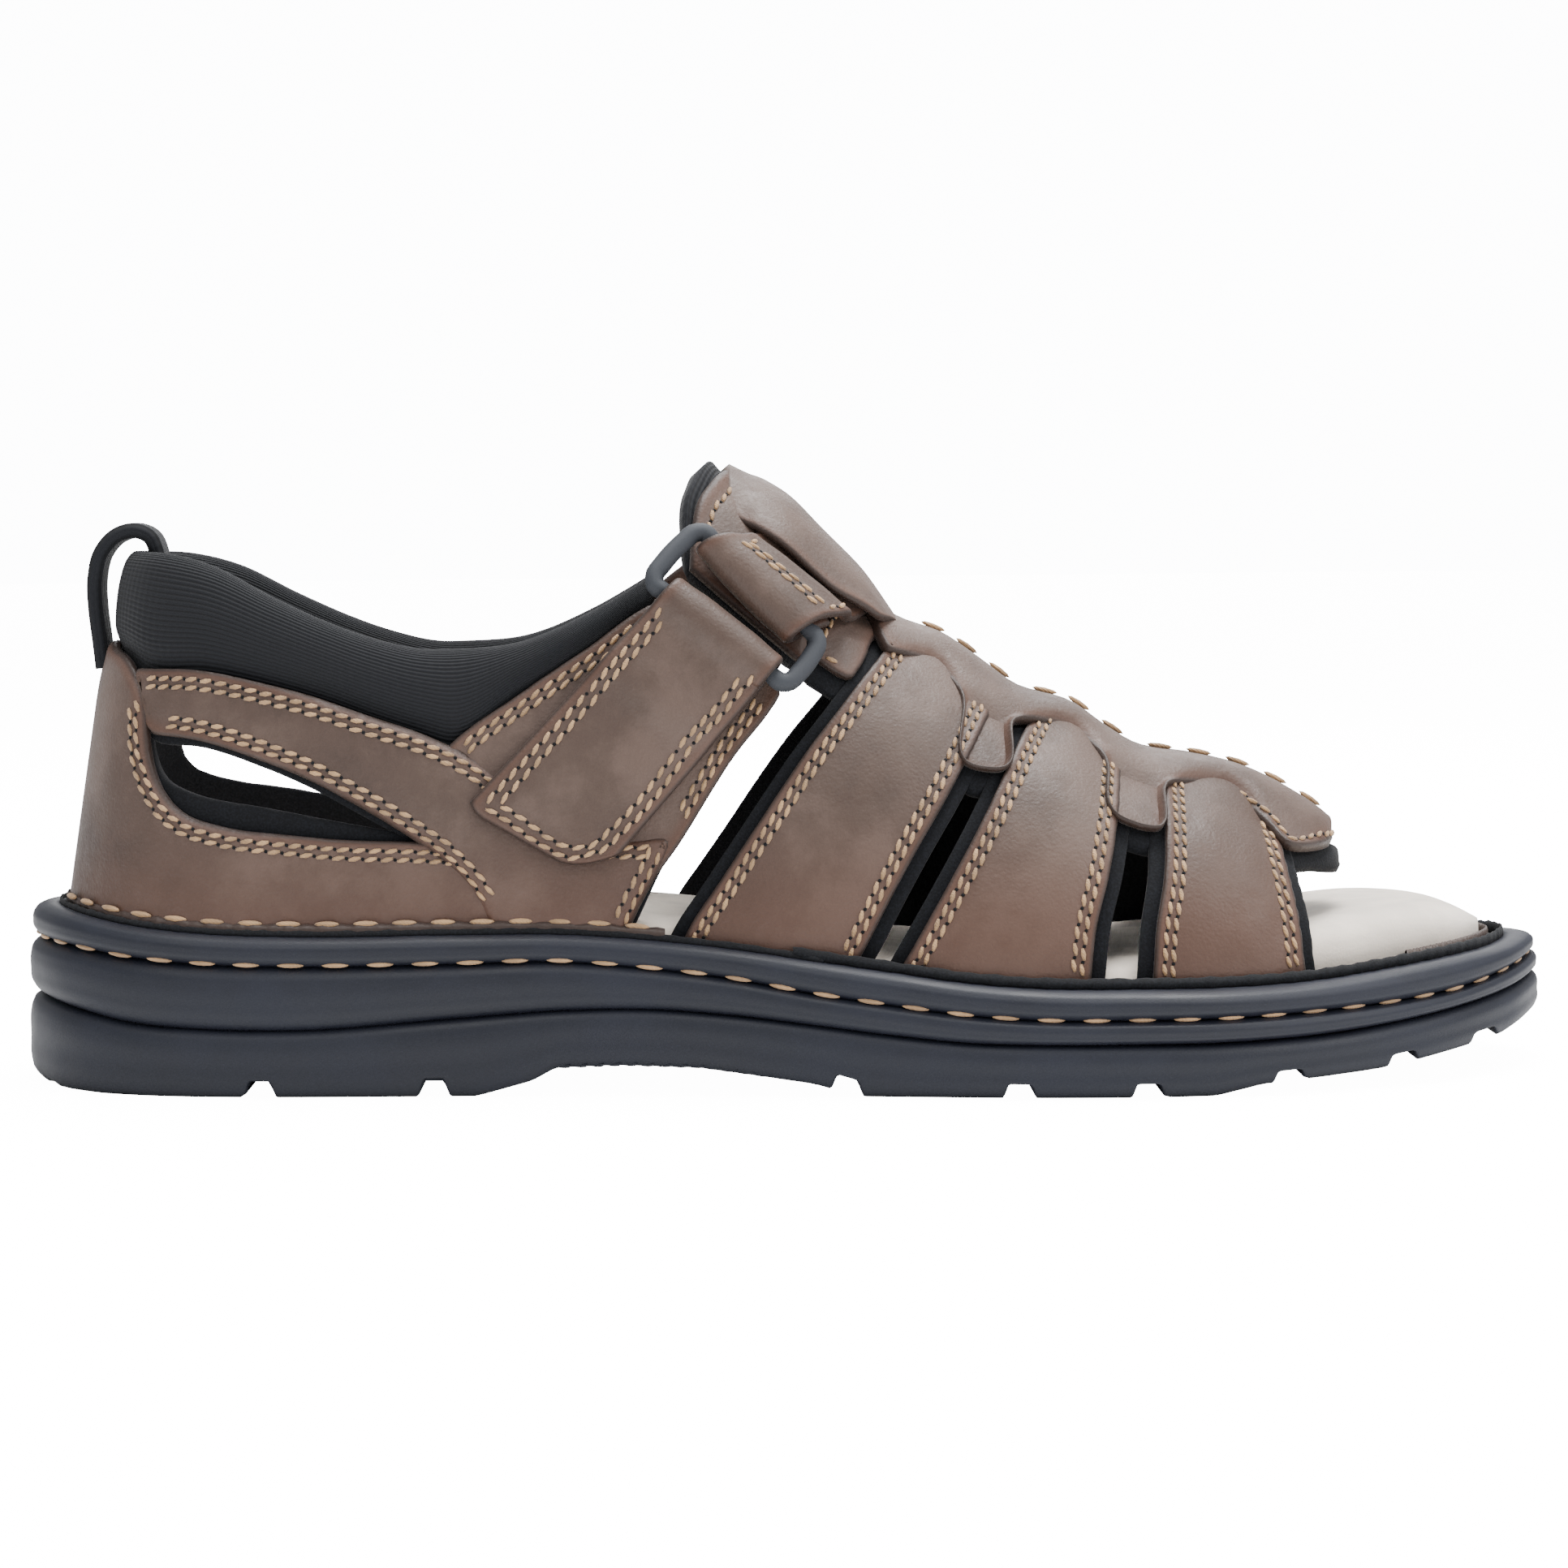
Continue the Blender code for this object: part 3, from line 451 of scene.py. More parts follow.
RINGS = (0.00025, 0.00030, 0.00040, 0.00055)
CELL = 0.0021
CORNER_ROUNDS = 2


def panel(name, stretches, finish, top=0.0, under=LEATHER, edge=0.0008, relief=None, slot="leather",
          replaces=None, dips=(), crown=0.0, seat=None):
    """Piece of leather or lining laid on the last. Each stretch is (points, finished or not)."""
    lay = seat or on_last
    starts = np.cumsum([0] + [len(points) - 1 for points, _ in stretches])
    flat = np.concatenate([np.asarray(points, float)[:-1] for points, _ in stretches])
    for _ in range(CORNER_ROUNDS):
        flat = (np.roll(flat, 1, axis=0) + 2 * flat + np.roll(flat, -1, axis=0)) / 4
    wrapped = np.concatenate([flat, flat[:1]])
    finished = [(wrapped[first:last + 1], done)
                for first, last, (_, done) in zip(starts, starts[1:], stretches)]
    area = np.sum(flat[:, 0] * np.roll(flat[:, 1], -1) - np.roll(flat[:, 0], -1) * flat[:, 1])
    way = 1 if area > 0 else -1
    work = bmesh.new()
    face = work.faces.new([work.verts.new((p, q, 0)) for p, q in flat])
    face.normal_update()
    for ring in RINGS:
        bmesh.ops.inset_individual(work, faces=[face], thickness=ring, use_even_offset=False)
    face.material_index = 1
    for axis in (0, 1):
        low, high = flat[:, axis].min(), flat[:, axis].max()
        for cut in np.arange(low + CELL, high, CELL):
            at, way_out = ((cut, 0, 0), (1, 0, 0)) if axis == 0 else ((0, cut, 0), (0, 1, 0))
            core = [f for f in work.faces if f.material_index]
            geometry = {e for f in core for e in f.edges} | {v for f in core for v in f.verts} | set(core)
            bmesh.ops.bisect_plane(work, geom=list(geometry), dist=0.0002, plane_co=at, plane_no=way_out)
    for f in work.faces:
        f.material_index = 0
    thick(work)
    made = keep(name, work, finish, slot, replaces)
    places = corners(made.data)
    pairs, k = places[:, :2], places[:, 2]
    ground = lay(pairs)
    rim = [lay(line) for line, done in finished if done]
    far = np.full(len(pairs), 1.0)
    for line in rim:
        dense = curve_through(line, 0.0005)
        for first in range(0, len(pairs), 2000):
            part = ground[first:first + 2000]
            gap = np.linalg.norm(part[:, None] - dense[None], axis=2).min(axis=1)
            far[first:first + 2000] = np.minimum(far[first:first + 2000], gap)
    round_off = 1 - np.sqrt(1 - (1 - np.clip(far / edge, 0, 1)) ** 2)
    height = top - edge * round_off * 0.9
    for centre, depth, width in dips:
        height -= depth * np.exp(-((far - centre) / width) ** 2)
    if crown:
        height += crown * ease(0.003, 0.010, far)
    if relief is not None:
        height += relief(pairs, ground) * ease(0.0, 0.002, far)
    low = top - under + edge * round_off * 0.5
    put(made.data, lay(pairs, np.where(k > 0.5, height, low)))
    mark(made.data, "edge", np.clip(far / 0.008, 0, 1))
    face_out(made.data)
    tree = BVHTree.FromPolygons([Vector(p) for p in corners(made.data)],
                                [tuple(f.vertices) for f in made.data.polygons])
    edges = []
    for line, done in finished:
        if not done:
            continue
        dense = curve_through(line, 0.0006)
        ahead = np.gradient(dense, axis=0)
        side = np.stack([-ahead[:, 1], ahead[:, 0]], -1) * way
        side /= np.linalg.norm(side, axis=1, keepdims=True)
        base = lay(dense, top)
        inner = lay(dense + side * 0.001, top) - base
        edges.append(Edge(base, inner / np.linalg.norm(inner, axis=1, keepdims=True), tree))
    return made, edges
# Stitching
STITCH_FACES = (6, 4)
# Size of the black marks painted as shadow in the stitch holes
HOLE_SHADOW_SIZE = (0.00042, 0.00042, 0.00016)


def stitches(name, rows, finish, slot, half=(0.00138, 0.00050, 0.00042), slant=0.26, sink=0.00010, holes=True):
    """One piece of thread stitches, with small black marks between them as painted shadow in the stitch holes. Each
    row is (places, directions, surface tree).
    """
    work = bmesh.new()
    hole_shadow_marks = bmesh.new()
    for places, along, tree in rows:
        for place, after in zip(places, places[1:]):
            spot, normal = tree.find_nearest(Vector((place + after) / 2))[:2]
            if holes and spot is not None:
                # Flattened black ellipsoid between two stitches: painted shadow in the hole
                turned = normal.to_track_quat("Z", "Y").to_matrix() @ Matrix.Diagonal(HOLE_SHADOW_SIZE)
                turned = turned.to_4x4()
                turned.translation = spot
                bmesh.ops.create_uvsphere(hole_shadow_marks, u_segments=6, v_segments=3, radius=1, matrix=turned)
        for place, run in zip(places, along):
            hit = tree.find_nearest(Vector(place))
            if hit[0] is None:
                continue
            spot, normal = hit[0], hit[1]
            run = Vector(run)
            run = (run - normal * run.dot(normal)).normalized()
            across = normal.cross(run)
            run, across = run * cos(slant) + across * sin(slant), across * cos(slant) - run * sin(slant)
            turned = Matrix((run * half[0], across * half[1], normal * half[2])).transposed().to_4x4()
            turned.translation = spot + normal * sink
            bmesh.ops.create_uvsphere(work, u_segments=STITCH_FACES[0], v_segments=STITCH_FACES[1],
                                      radius=1, matrix=turned)
    if holes:
        # The black marks between the stitches, as their own object: painted shadow in the stitch holes
        keep(name.replace("stitches", "holes"), hole_shadow_marks, bpy.data.materials["black_lining"], slot)
    return keep(name, work, finish, slot)


def sewn(edges, insets, pitch, margin=0.0025, low=0.0, high=1.0):
    """Stitch rows inside finished edges."""
    rows = []
    for edge in edges:
        for inset in insets:
            path = edge.inside(inset, low, high)
            places, along = evenly(path, pitch, margin, margin)
            rows.append((places, along, edge.tree))
    return rows


# Rubber unit
STATIONS = 300
HEEL_TO_TOE = (1 - np.cos(np.linspace(0, pi, STATIONS + 1))) / 2
OUTSOLE_SIDE = table("part inset", (0, 0.0016), (0.06, 0.0006), (0.16, 0.0001), (0.45, 0), (0.74, 0.0001),
                     (0.86, 0.0006), (0.94, 0.0015), (1, 0.0036))
MIDSOLE_SIDE = table("part inset", (0, 0.0036), (0.06, 0.0018), (0.16, 0.0007), (0.40, 0.0002), (0.66, 0.0003),
                     (0.82, 0.0009), (0.92, 0.0022), (1, 0.0046))
WELT_SIDE = table("part inset", (0, 0.0052), (0.08, 0.0026), (0.22, 0.0012), (0.45, 0.0008), (0.70, 0.0012),
                  (0.88, 0.0026), (0.97, 0.0046), (1, 0.0068))
NOTCH_WIDTH = 0.0052
NOTCH_DEPTH = 0.0030
CHANNEL_DEPTH = 0.0022


def notch(x):
    """How far the tread is cut away at x by the notches that cross it."""
    deep = np.zeros_like(x)
    for a in NOTCHES:
        away = np.abs(x - (a - 0.5) * LENGTH)
        deep = np.maximum(deep, NOTCH_DEPTH * (1 - ease(0.30, 0.62, away / NOTCH_WIDTH)))
    return deep


def stations():
    """Shares along the sole, closer together at the notches' flanks."""
    extra = [a + d for a in NOTCHES for d in np.linspace(-1, 1, 17) * NOTCH_WIDTH / LENGTH * 0.7]
    return np.array(sorted(set(np.round(np.concatenate([HEEL_TO_TOE, extra]), 5))))


def layer(name, profile, low, high, finish, slot, replaces, across=20, bottom=None, top=None):
    """Rubber layer lofted from heel to toe: across its bottom, up one side, over its top, down the other."""
    along = stations()
    side_rows = 22
    parts = np.linspace(0, 1, side_rows + 1)
    section = [(-1 + 2 * i / across, 0.0) for i in range(across)]
    section += [(1.0, part) for part in parts]
    section += [(1 - 2 * i / across, 1.0) for i in range(1, across)]
    section += [(-1.0, part) for part in parts[::-1]]
    section = np.array(section)

    def place(u, v, k):
        a = along[np.round(u * (len(along) - 1)).astype(int)]
        side, part = section[np.round(v * (len(section) - 1)).astype(int)].T
        inset = smooth(profile, "inset", part, "part")
        x, edge = plan(a, np.sign(side + 1e-9), inset)
        middle = plan(a, 0, inset)[1]
        y = middle + (edge - middle) * np.abs(side)
        floor, ceiling = low(x), high(x)
        z = floor + (ceiling - floor) * part
        flat = (part == 0) | (part == 1)
        if bottom is not None:
            z = z + np.where(part < 0.5, bottom(x, y, side, part), 0)
        if top is not None:
            z = z + np.where((part == 1) & flat, top(x, y, side), 0)
        return np.stack([x, y, z], -1)
    return shaped(name, sheet_grid(len(along) - 1, len(section) - 1), place, finish, slot, replaces)


def make_outsole(look):
    def tread_cut(x, y, side, part):
        reach = 1 - ease(0.0, 0.30, part)
        middle = plan(share(x), 0)[1]
        spine = CHANNEL_DEPTH * (1 - ease(0.0012, 0.0022, np.abs(np.abs(y - middle) - 0.017)))
        raised = 1 - ease(0.0005, 0.002, tread(x) - 0.0004)
        return (np.maximum(notch(x), spine * (part == 0) * raised)) * reach

    made = layer("outsole_rubber", OUTSOLE_SIDE, tread, lambda x: seam("groove", x), look["rubber"],
                 "sole_rubber", "outsole", across=48, bottom=tread_cut)
    return made


def make_midsole(look):
    return layer("midsole_rubber", MIDSOLE_SIDE, lambda x: seam("groove", x) - 0.0004,
                 lambda x: seam("stitch", x), look["rubber"], "sole_rubber", "midsole")


def make_welt(look):
    made = layer("welt_rubber", WELT_SIDE, lambda x: seam("stitch", x) - 0.0006, lambda x: seam("rand", x),
                 look["rubber"], "sole_rubber", "welt",
                 top=lambda x, y, side: -0.0040 * ease(0.02, 0.10, 1 - np.abs(side)))
    return made


WELT_PITCH = 0.0084


def make_welt_stitches(look):
    """Long stitches in the groove under the welt, right round the unit."""
    halves = []
    for side in (-1, 1):
        a = HEEL_TO_TOE
        x, y = plan(a, side, 0.0022)
        line = np.stack([x, y, seam("stitch", x) + 0.0001], -1)
        halves.append(line if side < 0 else line[::-1])
    ring = np.concatenate(halves)
    places, along = evenly(ring, WELT_PITCH)
    work = bmesh.new()
    for place, run in zip(places, along):
        run = Vector(run)
        out = run.cross(Vector((0, 0, 1))).normalized()
        up = out.cross(run) * -1
        turned = Matrix((run * 0.0027, out * 0.0008, up * 0.00055)).transposed().to_4x4()
        turned.translation = Vector(place)
        bmesh.ops.create_uvsphere(work, u_segments=10, v_segments=8, radius=1, matrix=turned)
    return keep("welt_stitches", work, look["thread"], "leather")


ARCH_RIBS = (0.352, 0.482)


def make_arch_ribs(look):
    """Slanting ribs moulded under the arch, at both sides."""
    work = bmesh.new()
    for side in (-1, 1):
        for a in np.arange(ARCH_RIBS[0], ARCH_RIBS[1], 0.0105):
            x = (a - 0.5) * LENGTH
            y = plan(a, side, 0.0040)[1]
            turned = Matrix.Translation((x, float(y), float(tread(x)) + 0.0003))
            turned @= Matrix.Rotation(radians(38 * -side), 4, "Z") @ Matrix.Diagonal((0.0007, 0.0036, 0.0006, 1))
            bmesh.ops.create_uvsphere(work, u_segments=8, v_segments=6, radius=1, matrix=turned)
    return keep("arch_ribs", work, look["rubber"], "sole_rubber")


# Footbed
BED_INSET = RAND_WIDTH + 0.0032
BED_MARGIN = 0.905


def bed_height(x, part):
    crown = 0.0016 * np.maximum(0, share(x) - 0.55)
    return seam("bed", x) - 0.0036 * (1 - np.sqrt(np.clip(1 - (1 - part) ** 2, 0, 1))) + crown * part


def make_footbed(look):
    """Suede cushion that swells up inside the rand."""
    rings = 26

    def place(u, v, k):
        a = HEEL_TO_TOE[np.round(u * STATIONS).astype(int)]
        out = 2 * v - 1
        inset = BED_INSET + 0.0
        x, edge = plan(a, np.sign(out + 1e-9), inset)
        middle = plan(a, 0, inset)[1]
        y = middle + (edge - middle) * np.abs(out)
        to_edge = np.minimum(np.abs(edge - middle) * (1 - np.abs(out)), 0.5 * np.minimum(x + 0.141, 0.1405 - x))
        part = np.clip(to_edge / 0.0075, 0, 1)
        z = np.where(k > 0.5, bed_height(x, part), seam("stitch", x) + GAP)
        return np.stack([x, y, z], -1)
    made = shaped("footbed_suede", thick(sheet_grid(STATIONS, 2 * rings)), place, look["suede"],
                  "footbed_suede", "footbed")
    return made


# Finishes
def wire(tree, start, end):
    tree.links.new(start, end)


def add_node(tree, kind, settings=None, **inputs):
    made = tree.nodes.new(kind)
    for name, value in (settings or {}).items():
        setattr(made, name, value)
    for name, value in inputs.items():
        socket = made.inputs[int(name[1:])] if name[0] == "i" and name[1:].isdigit() else \
            made.inputs[name.replace("_", " ")]
        if isinstance(value, bpy.types.NodeSocket):
            tree.links.new(value, socket)
        else:
            socket.default_value = value
    return made


def group(name, inputs, outputs):
    tree = bpy.data.node_groups.new(name, "ShaderNodeTree")
    for label, kind, value in inputs:
        socket = tree.interface.new_socket(label, in_out="INPUT", socket_type=kind)
        if value is not None:
            socket.default_value = value
    for label, kind in outputs:
        tree.interface.new_socket(label, in_out="OUTPUT", socket_type=kind)
    return tree, tree.nodes.new("NodeGroupInput"), tree.nodes.new("NodeGroupOutput")


FLOAT, COLOUR = "NodeSocketFloat", "NodeSocketColor"


def math_node(tree, operation, first, second=0.5, clamp=False):
    return add_node(tree, "ShaderNodeMath", {"operation": operation, "use_clamp": clamp},
                    i0=first, i1=second).outputs[0]


def ramp(tree, factor, low, high):
    return add_node(tree, "ShaderNodeMapRange", {"interpolation_type": "SMOOTHSTEP"}, Value=factor,
                    From_Min=low, From_Max=high).outputs[0]


def mix(tree, factor, first, second, blend="MIX"):
    made = tree.nodes.new("ShaderNodeMix")
    made.data_type = "RGBA"
    made.blend_type = blend
    for socket, value in ((made.inputs[0], factor), (made.inputs[6], first), (made.inputs[7], second)):
        if isinstance(value, bpy.types.NodeSocket):
            tree.links.new(value, socket)
        else:
            socket.default_value = value
    return made.outputs[2]


def grain_group():
    """Fine pebbled grain with pores and soft hide wrinkles: a height, and a mottle for the colour."""
    tree, given, result = group("leather_grain", [("Scale", FLOAT, 1.0), ("Wrinkle", FLOAT, 1.0)],
                                [("Height", FLOAT), ("Mottle", FLOAT), ("Scuff", FLOAT)])
    place = add_node(tree, "ShaderNodeTexCoord").outputs["Object"]
    size = add_node(tree, "ShaderNodeVectorMath", {"operation": "SCALE"}, i0=place)
    wire(tree, given.outputs["Scale"], size.inputs["Scale"])
    place = size.outputs[0]
    pebble = add_node(tree, "ShaderNodeTexVoronoi", {"feature": "SMOOTH_F1"}, Vector=place, Scale=1500.0)
    pores = add_node(tree, "ShaderNodeTexNoise", Vector=place, Scale=2600.0, Detail=2.0)
    folds = add_node(tree, "ShaderNodeTexNoise", {"noise_type": "RIDGED_MULTIFRACTAL"}, Vector=place,
                     Scale=120.0, Detail=4.0, Distortion=0.8)
    mottle = add_node(tree, "ShaderNodeTexNoise", Vector=place, Scale=30.0, Detail=6.0, Roughness=0.62)
    scuff = add_node(tree, "ShaderNodeTexNoise", Vector=place, Scale=260.0, Detail=6.0, Roughness=0.7,
                     Distortion=0.6)
    fine = math_node(tree, "ADD", math_node(tree, "MULTIPLY", pebble.outputs["Distance"], 0.55),
                     math_node(tree, "MULTIPLY", pores.outputs[0], 0.45))
    wrinkle = math_node(tree, "MULTIPLY", folds.outputs[0], given.outputs["Wrinkle"])
    wire(tree, math_node(tree, "ADD", fine, wrinkle), result.inputs["Height"])
    wire(tree, mottle.outputs[0], result.inputs["Mottle"])
    wire(tree, scuff.outputs[0], result.inputs["Scuff"])
    return tree


def weave_group():
    """Crossing yarns on a piece's own UV map: height, and a mask of the gaps between yarns used for painted shade."""
    tree, given, result = group("knit_weave", [("Across", FLOAT, 100.0), ("Along", FLOAT, 300.0)],
                                [("Height", FLOAT), ("GapShade", FLOAT)])
    place = add_node(tree, "ShaderNodeTexCoord").outputs["UV"]
    split = add_node(tree, "ShaderNodeSeparateXYZ", i0=place)
    along = math_node(tree, "SINE", math_node(tree, "MULTIPLY", split.outputs[0], given.outputs["Along"]))
    across = math_node(tree, "SINE", math_node(tree, "MULTIPLY", split.outputs[1], given.outputs["Across"]))
    both = math_node(tree, "ADD", math_node(tree, "MULTIPLY", along, 0.28), across)
    wire(tree, both, result.inputs["Height"])
    wire(tree, ramp(tree, across, -1.0, 0.2), result.inputs["GapShade"])
    return tree


def finish(name, roughness, colour=None, **settings):
    """Material with its Principled shader; numbers that are the same all over are set on its sockets."""
    made = bpy.data.materials.new(name)
    made.use_nodes = True
    shader = made.node_tree.nodes["Principled BSDF"]
    shader.inputs["Roughness"].default_value = roughness
    if colour:
        shader.inputs["Base Color"].default_value = (*colour, 1)
        made.diffuse_color = (*colour, 1)
    for label, value in settings.items():
        shader.inputs[label.replace("_", " ")].default_value = value
    return made, made.node_tree, shader


def bump(tree, shader, height, distance, strength=1.0):
    made = add_node(tree, "ShaderNodeBump", Height=height, Distance=distance, Strength=strength)
    wire(tree, made.outputs[0], shader.inputs["Normal"])


def leather_finish(sizes, grain):
    """Waxed nubuck: mottled brown, paler where it is rubbed, redder towards cut edges and darkest right at them: the
    raw edge's own colour with a painted shadow line along each edge.
    """
    made, tree, shader = finish("waxed_leather", 0.52, Sheen_Weight=0.05, Sheen_Roughness=0.5)
    hide = add_node(tree, "ShaderNodeGroup", {"node_tree": grain}, Scale=1.0, Wrinkle=0.35)
    edge = add_node(tree, "ShaderNodeAttribute", {"attribute_name": "edge"}).outputs["Fac"]
    base = tuple(sizes.leather)
    pale = tuple(min(1, c * s) for c, s in zip(base, (1.62, 1.76, 1.90)))
    dark = tuple(c * s for c, s in zip(base, (0.50, 0.44, 0.42)))
    raw_edge_and_shadow = tuple(c * s for c, s in zip(base, (0.30, 0.24, 0.20)))
    red = tuple(c * s for c, s in zip(base, (1.32, 0.84, 0.56)))
    rubbed = ramp(tree, hide.outputs["Mottle"], 0.44, 0.62)
    colour = mix(tree, rubbed, (*base, 1), (*pale, 1))
    deep = ramp(tree, hide.outputs["Mottle"], 0.46, 0.30)
    colour = mix(tree, math_node(tree, "MULTIPLY", deep, 0.65), colour, (*dark, 1))
    marks = ramp(tree, hide.outputs["Scuff"], 0.56, 0.72)
    colour = mix(tree, math_node(tree, "MULTIPLY", marks, 0.28), colour, (*pale, 1))
    place = add_node(tree, "ShaderNodeTexCoord").outputs["Object"]
    height = add_node(tree, "ShaderNodeSeparateXYZ", i0=place).outputs[2]
    foot = ramp(tree, height, 0.056, 0.026)
    colour = mix(tree, math_node(tree, "MULTIPLY", foot, 0.55), colour, (*red, 1))
    near = ramp(tree, edge, 0.42, 0.0)
    colour = mix(tree, math_node(tree, "MULTIPLY", near, 0.62), colour, (*red, 1))
    # Dark band in the last millimetre at every finished edge: raw edge colour plus painted shade for the shadow line
    # where pieces overlap
    cut = ramp(tree, edge, 0.125, 0.025)
    colour = mix(tree, math_node(tree, "MULTIPLY", cut, 0.88), colour, (*raw_edge_and_shadow, 1))
    wire(tree, colour, shader.inputs["Base Color"])
    rough = add_node(tree, "ShaderNodeMapRange", Value=hide.outputs["Scuff"], From_Min=0.3, From_Max=0.7,
                     To_Min=0.44, To_Max=0.66).outputs[0]
    wire(tree, rough, shader.inputs["Roughness"])
    bump(tree, shader, hide.outputs["Height"], 0.00016, 0.8)
    return made


def knit_finish(name, sizes, weave, across, along):
    """Black ribbed knit bonded to foam, its yarns painted lighter than the painted shade in the gaps between them."""
    made, tree, shader = finish(name, 0.80, Sheen_Weight=0.05, Sheen_Roughness=0.45, Specular_IOR_Level=0.30)
    yarn = add_node(tree, "ShaderNodeGroup", {"node_tree": weave}, Across=across, Along=along)
    base = tuple(sizes.knit)
    lit = tuple(c * 2.4 for c in base)
    # Yarn tops painted in a lit copy of the knit colour, gaps left dark: painted highlight and painted shade on the
    # ribs
    wire(tree, mix(tree, yarn.outputs["GapShade"], (*base, 1), (*lit, 1)), shader.inputs["Base Color"])
    bump(tree, shader, yarn.outputs["Height"], 0.00010, 0.7)
    return made


def lining_finish(sizes):
    made, tree, shader = finish("black_lining", 0.92, Sheen_Weight=0.05, Sheen_Roughness=0.5, Specular_IOR_Level=0.25)
    place = add_node(tree, "ShaderNodeTexCoord").outputs["Object"]
    fuzz = add_node(tree, "ShaderNodeTexNoise", Vector=place, Scale=2200.0, Detail=3.0)
    base = tuple(sizes.knit)
    colour = mix(tree, ramp(tree, fuzz.outputs[0], 0.40, 0.66), (*base, 1), (*(c * 2.2 for c in base), 1))
    wire(tree, colour, shader.inputs["Base Color"])
    bump(tree, shader, fuzz.outputs[0], 0.00014, 0.7)
    return made


def rubber_finish(sizes):
    """Matt moulded rubber: slate, faintly speckled, greyer where dust rubs in."""
    made, tree, shader = finish("slate_rubber", 0.50, Specular_IOR_Level=0.34)
    place = add_node(tree, "ShaderNodeTexCoord").outputs["Object"]
    fine = add_node(tree, "ShaderNodeTexNoise", Vector=place, Scale=3200.0, Detail=2.0)
    broad = add_node(tree, "ShaderNodeTexNoise", Vector=place, Scale=46.0, Detail=5.0, Roughness=0.6)
    base = tuple(sizes.rubber)
    colour = mix(tree, ramp(tree, broad.outputs[0], 0.34, 0.70), (*(c * 0.86 for c in base), 1),
                 (*(c * 1.16 for c in base), 1))
    colour = mix(tree, math_node(tree, "MULTIPLY", ramp(tree, fine.outputs[0], 0.60, 0.72), 0.30), colour,
                 (*(c * 1.9 for c in base), 1))
    wire(tree, colour, shader.inputs["Base Color"])
    rough = add_node(tree, "ShaderNodeMapRange", Value=broad.outputs[0], From_Min=0.3, From_Max=0.7,
                     To_Min=0.44, To_Max=0.58).outputs[0]
    wire(tree, rough, shader.inputs["Roughness"])
    bump(tree, shader, fine.outputs[0], 0.00007, 0.6)
    return made


def suede_finish(sizes):
    """Cream suede with a short brushed nap."""
    made, tree, shader = finish("cream_suede", 0.92, Sheen_Weight=0.5, Sheen_Roughness=0.55)
    place = add_node(tree, "ShaderNodeTexCoord").outputs["Object"]
    nap = add_node(tree, "ShaderNodeTexNoise", Vector=place, Scale=1900.0, Detail=4.0, Roughness=0.7)
    brushed = add_node(tree, "ShaderNodeTexNoise", Vector=place, Scale=58.0, Detail=4.0, Distortion=1.2)
    base = tuple(sizes.suede)
    colour = mix(tree, ramp(tree, brushed.outputs[0], 0.36, 0.64), (*(c * 0.86 for c in base), 1), (*base, 1))
    colour = mix(tree, math_node(tree, "MULTIPLY", ramp(tree, nap.outputs[0], 0.50, 0.30), 0.35), colour,
                 (*(c * 0.72 for c in base), 1))
    wire(tree, colour, shader.inputs["Base Color"])
    bump(tree, shader, nap.outputs[0], 0.00022, 0.8)
    return made


def thread_finish(sizes):
    made, tree, shader = finish("waxed_thread", 0.62, Sheen_Weight=0.2)
    place = add_node(tree, "ShaderNodeTexCoord").outputs["Object"]
    twist = add_node(tree, "ShaderNodeTexWave", {"bands_direction": "DIAGONAL"}, Vector=place, Scale=900.0,
                     Distortion=1.5)
    tone = add_node(tree, "ShaderNodeTexNoise", Vector=place, Scale=180.0)
    base = tuple(sizes.thread)
    colour = mix(tree, ramp(tree, tone.outputs[0], 0.35, 0.65), (*(c * 0.72 for c in base), 1),
                 (*(min(1, c * 1.12) for c in base), 1))
    wire(tree, colour, shader.inputs["Base Color"])
    bump(tree, shader, twist.outputs[0], 0.00010, 0.6)
    return made


def plastic_finish(sizes):
    made, tree, shader = finish("ring_plastic", 0.42)
    place = add_node(tree, "ShaderNodeTexCoord").outputs["Object"]
    cast = add_node(tree, "ShaderNodeTexNoise", Vector=place, Scale=900.0, Detail=3.0)
    base = tuple(sizes.ring)
    colour = mix(tree, cast.outputs[0], (*(c * 0.85 for c in base), 1), (*(c * 1.2 for c in base), 1))
    wire(tree, colour, shader.inputs["Base Color"])
    bump(tree, shader, cast.outputs[0], 0.00004, 0.5)
    return made


def finishes():
    """All materials, made once."""
    look = {}
    if "waxed_leather" in bpy.data.materials:
        names = ("waxed_leather", "ribbed_knit", "black_lining", "slate_rubber", "cream_suede",
                 "waxed_thread", "ring_plastic", "loop_webbing")
        keys = ("leather", "knit", "lining", "rubber", "suede", "thread", "ring", "webbing")
        return {key: bpy.data.materials[name] for key, name in zip(keys, names)}
    sizes = bpy.context.scene.sandal
    weave = weave_group()
    look["leather"] = leather_finish(sizes, grain_group())
    look["knit"] = knit_finish("ribbed_knit", sizes, weave, 6500.0, 2600.0)
    look["lining"] = lining_finish(sizes)
    look["rubber"] = rubber_finish(sizes)
    look["suede"] = suede_finish(sizes)
    look["thread"] = thread_finish(sizes)
    look["ring"] = plastic_finish(sizes)
    look["webbing"] = knit_finish("loop_webbing", sizes, weave, 4500.0, 4000.0)
    return look


# Camera and stage
CAMERA = {"place": (-0.01396, -0.79988, 0.110), "turn": 0.943, "pitch": 3.86, "roll": -0.5, "lens": 92.96}


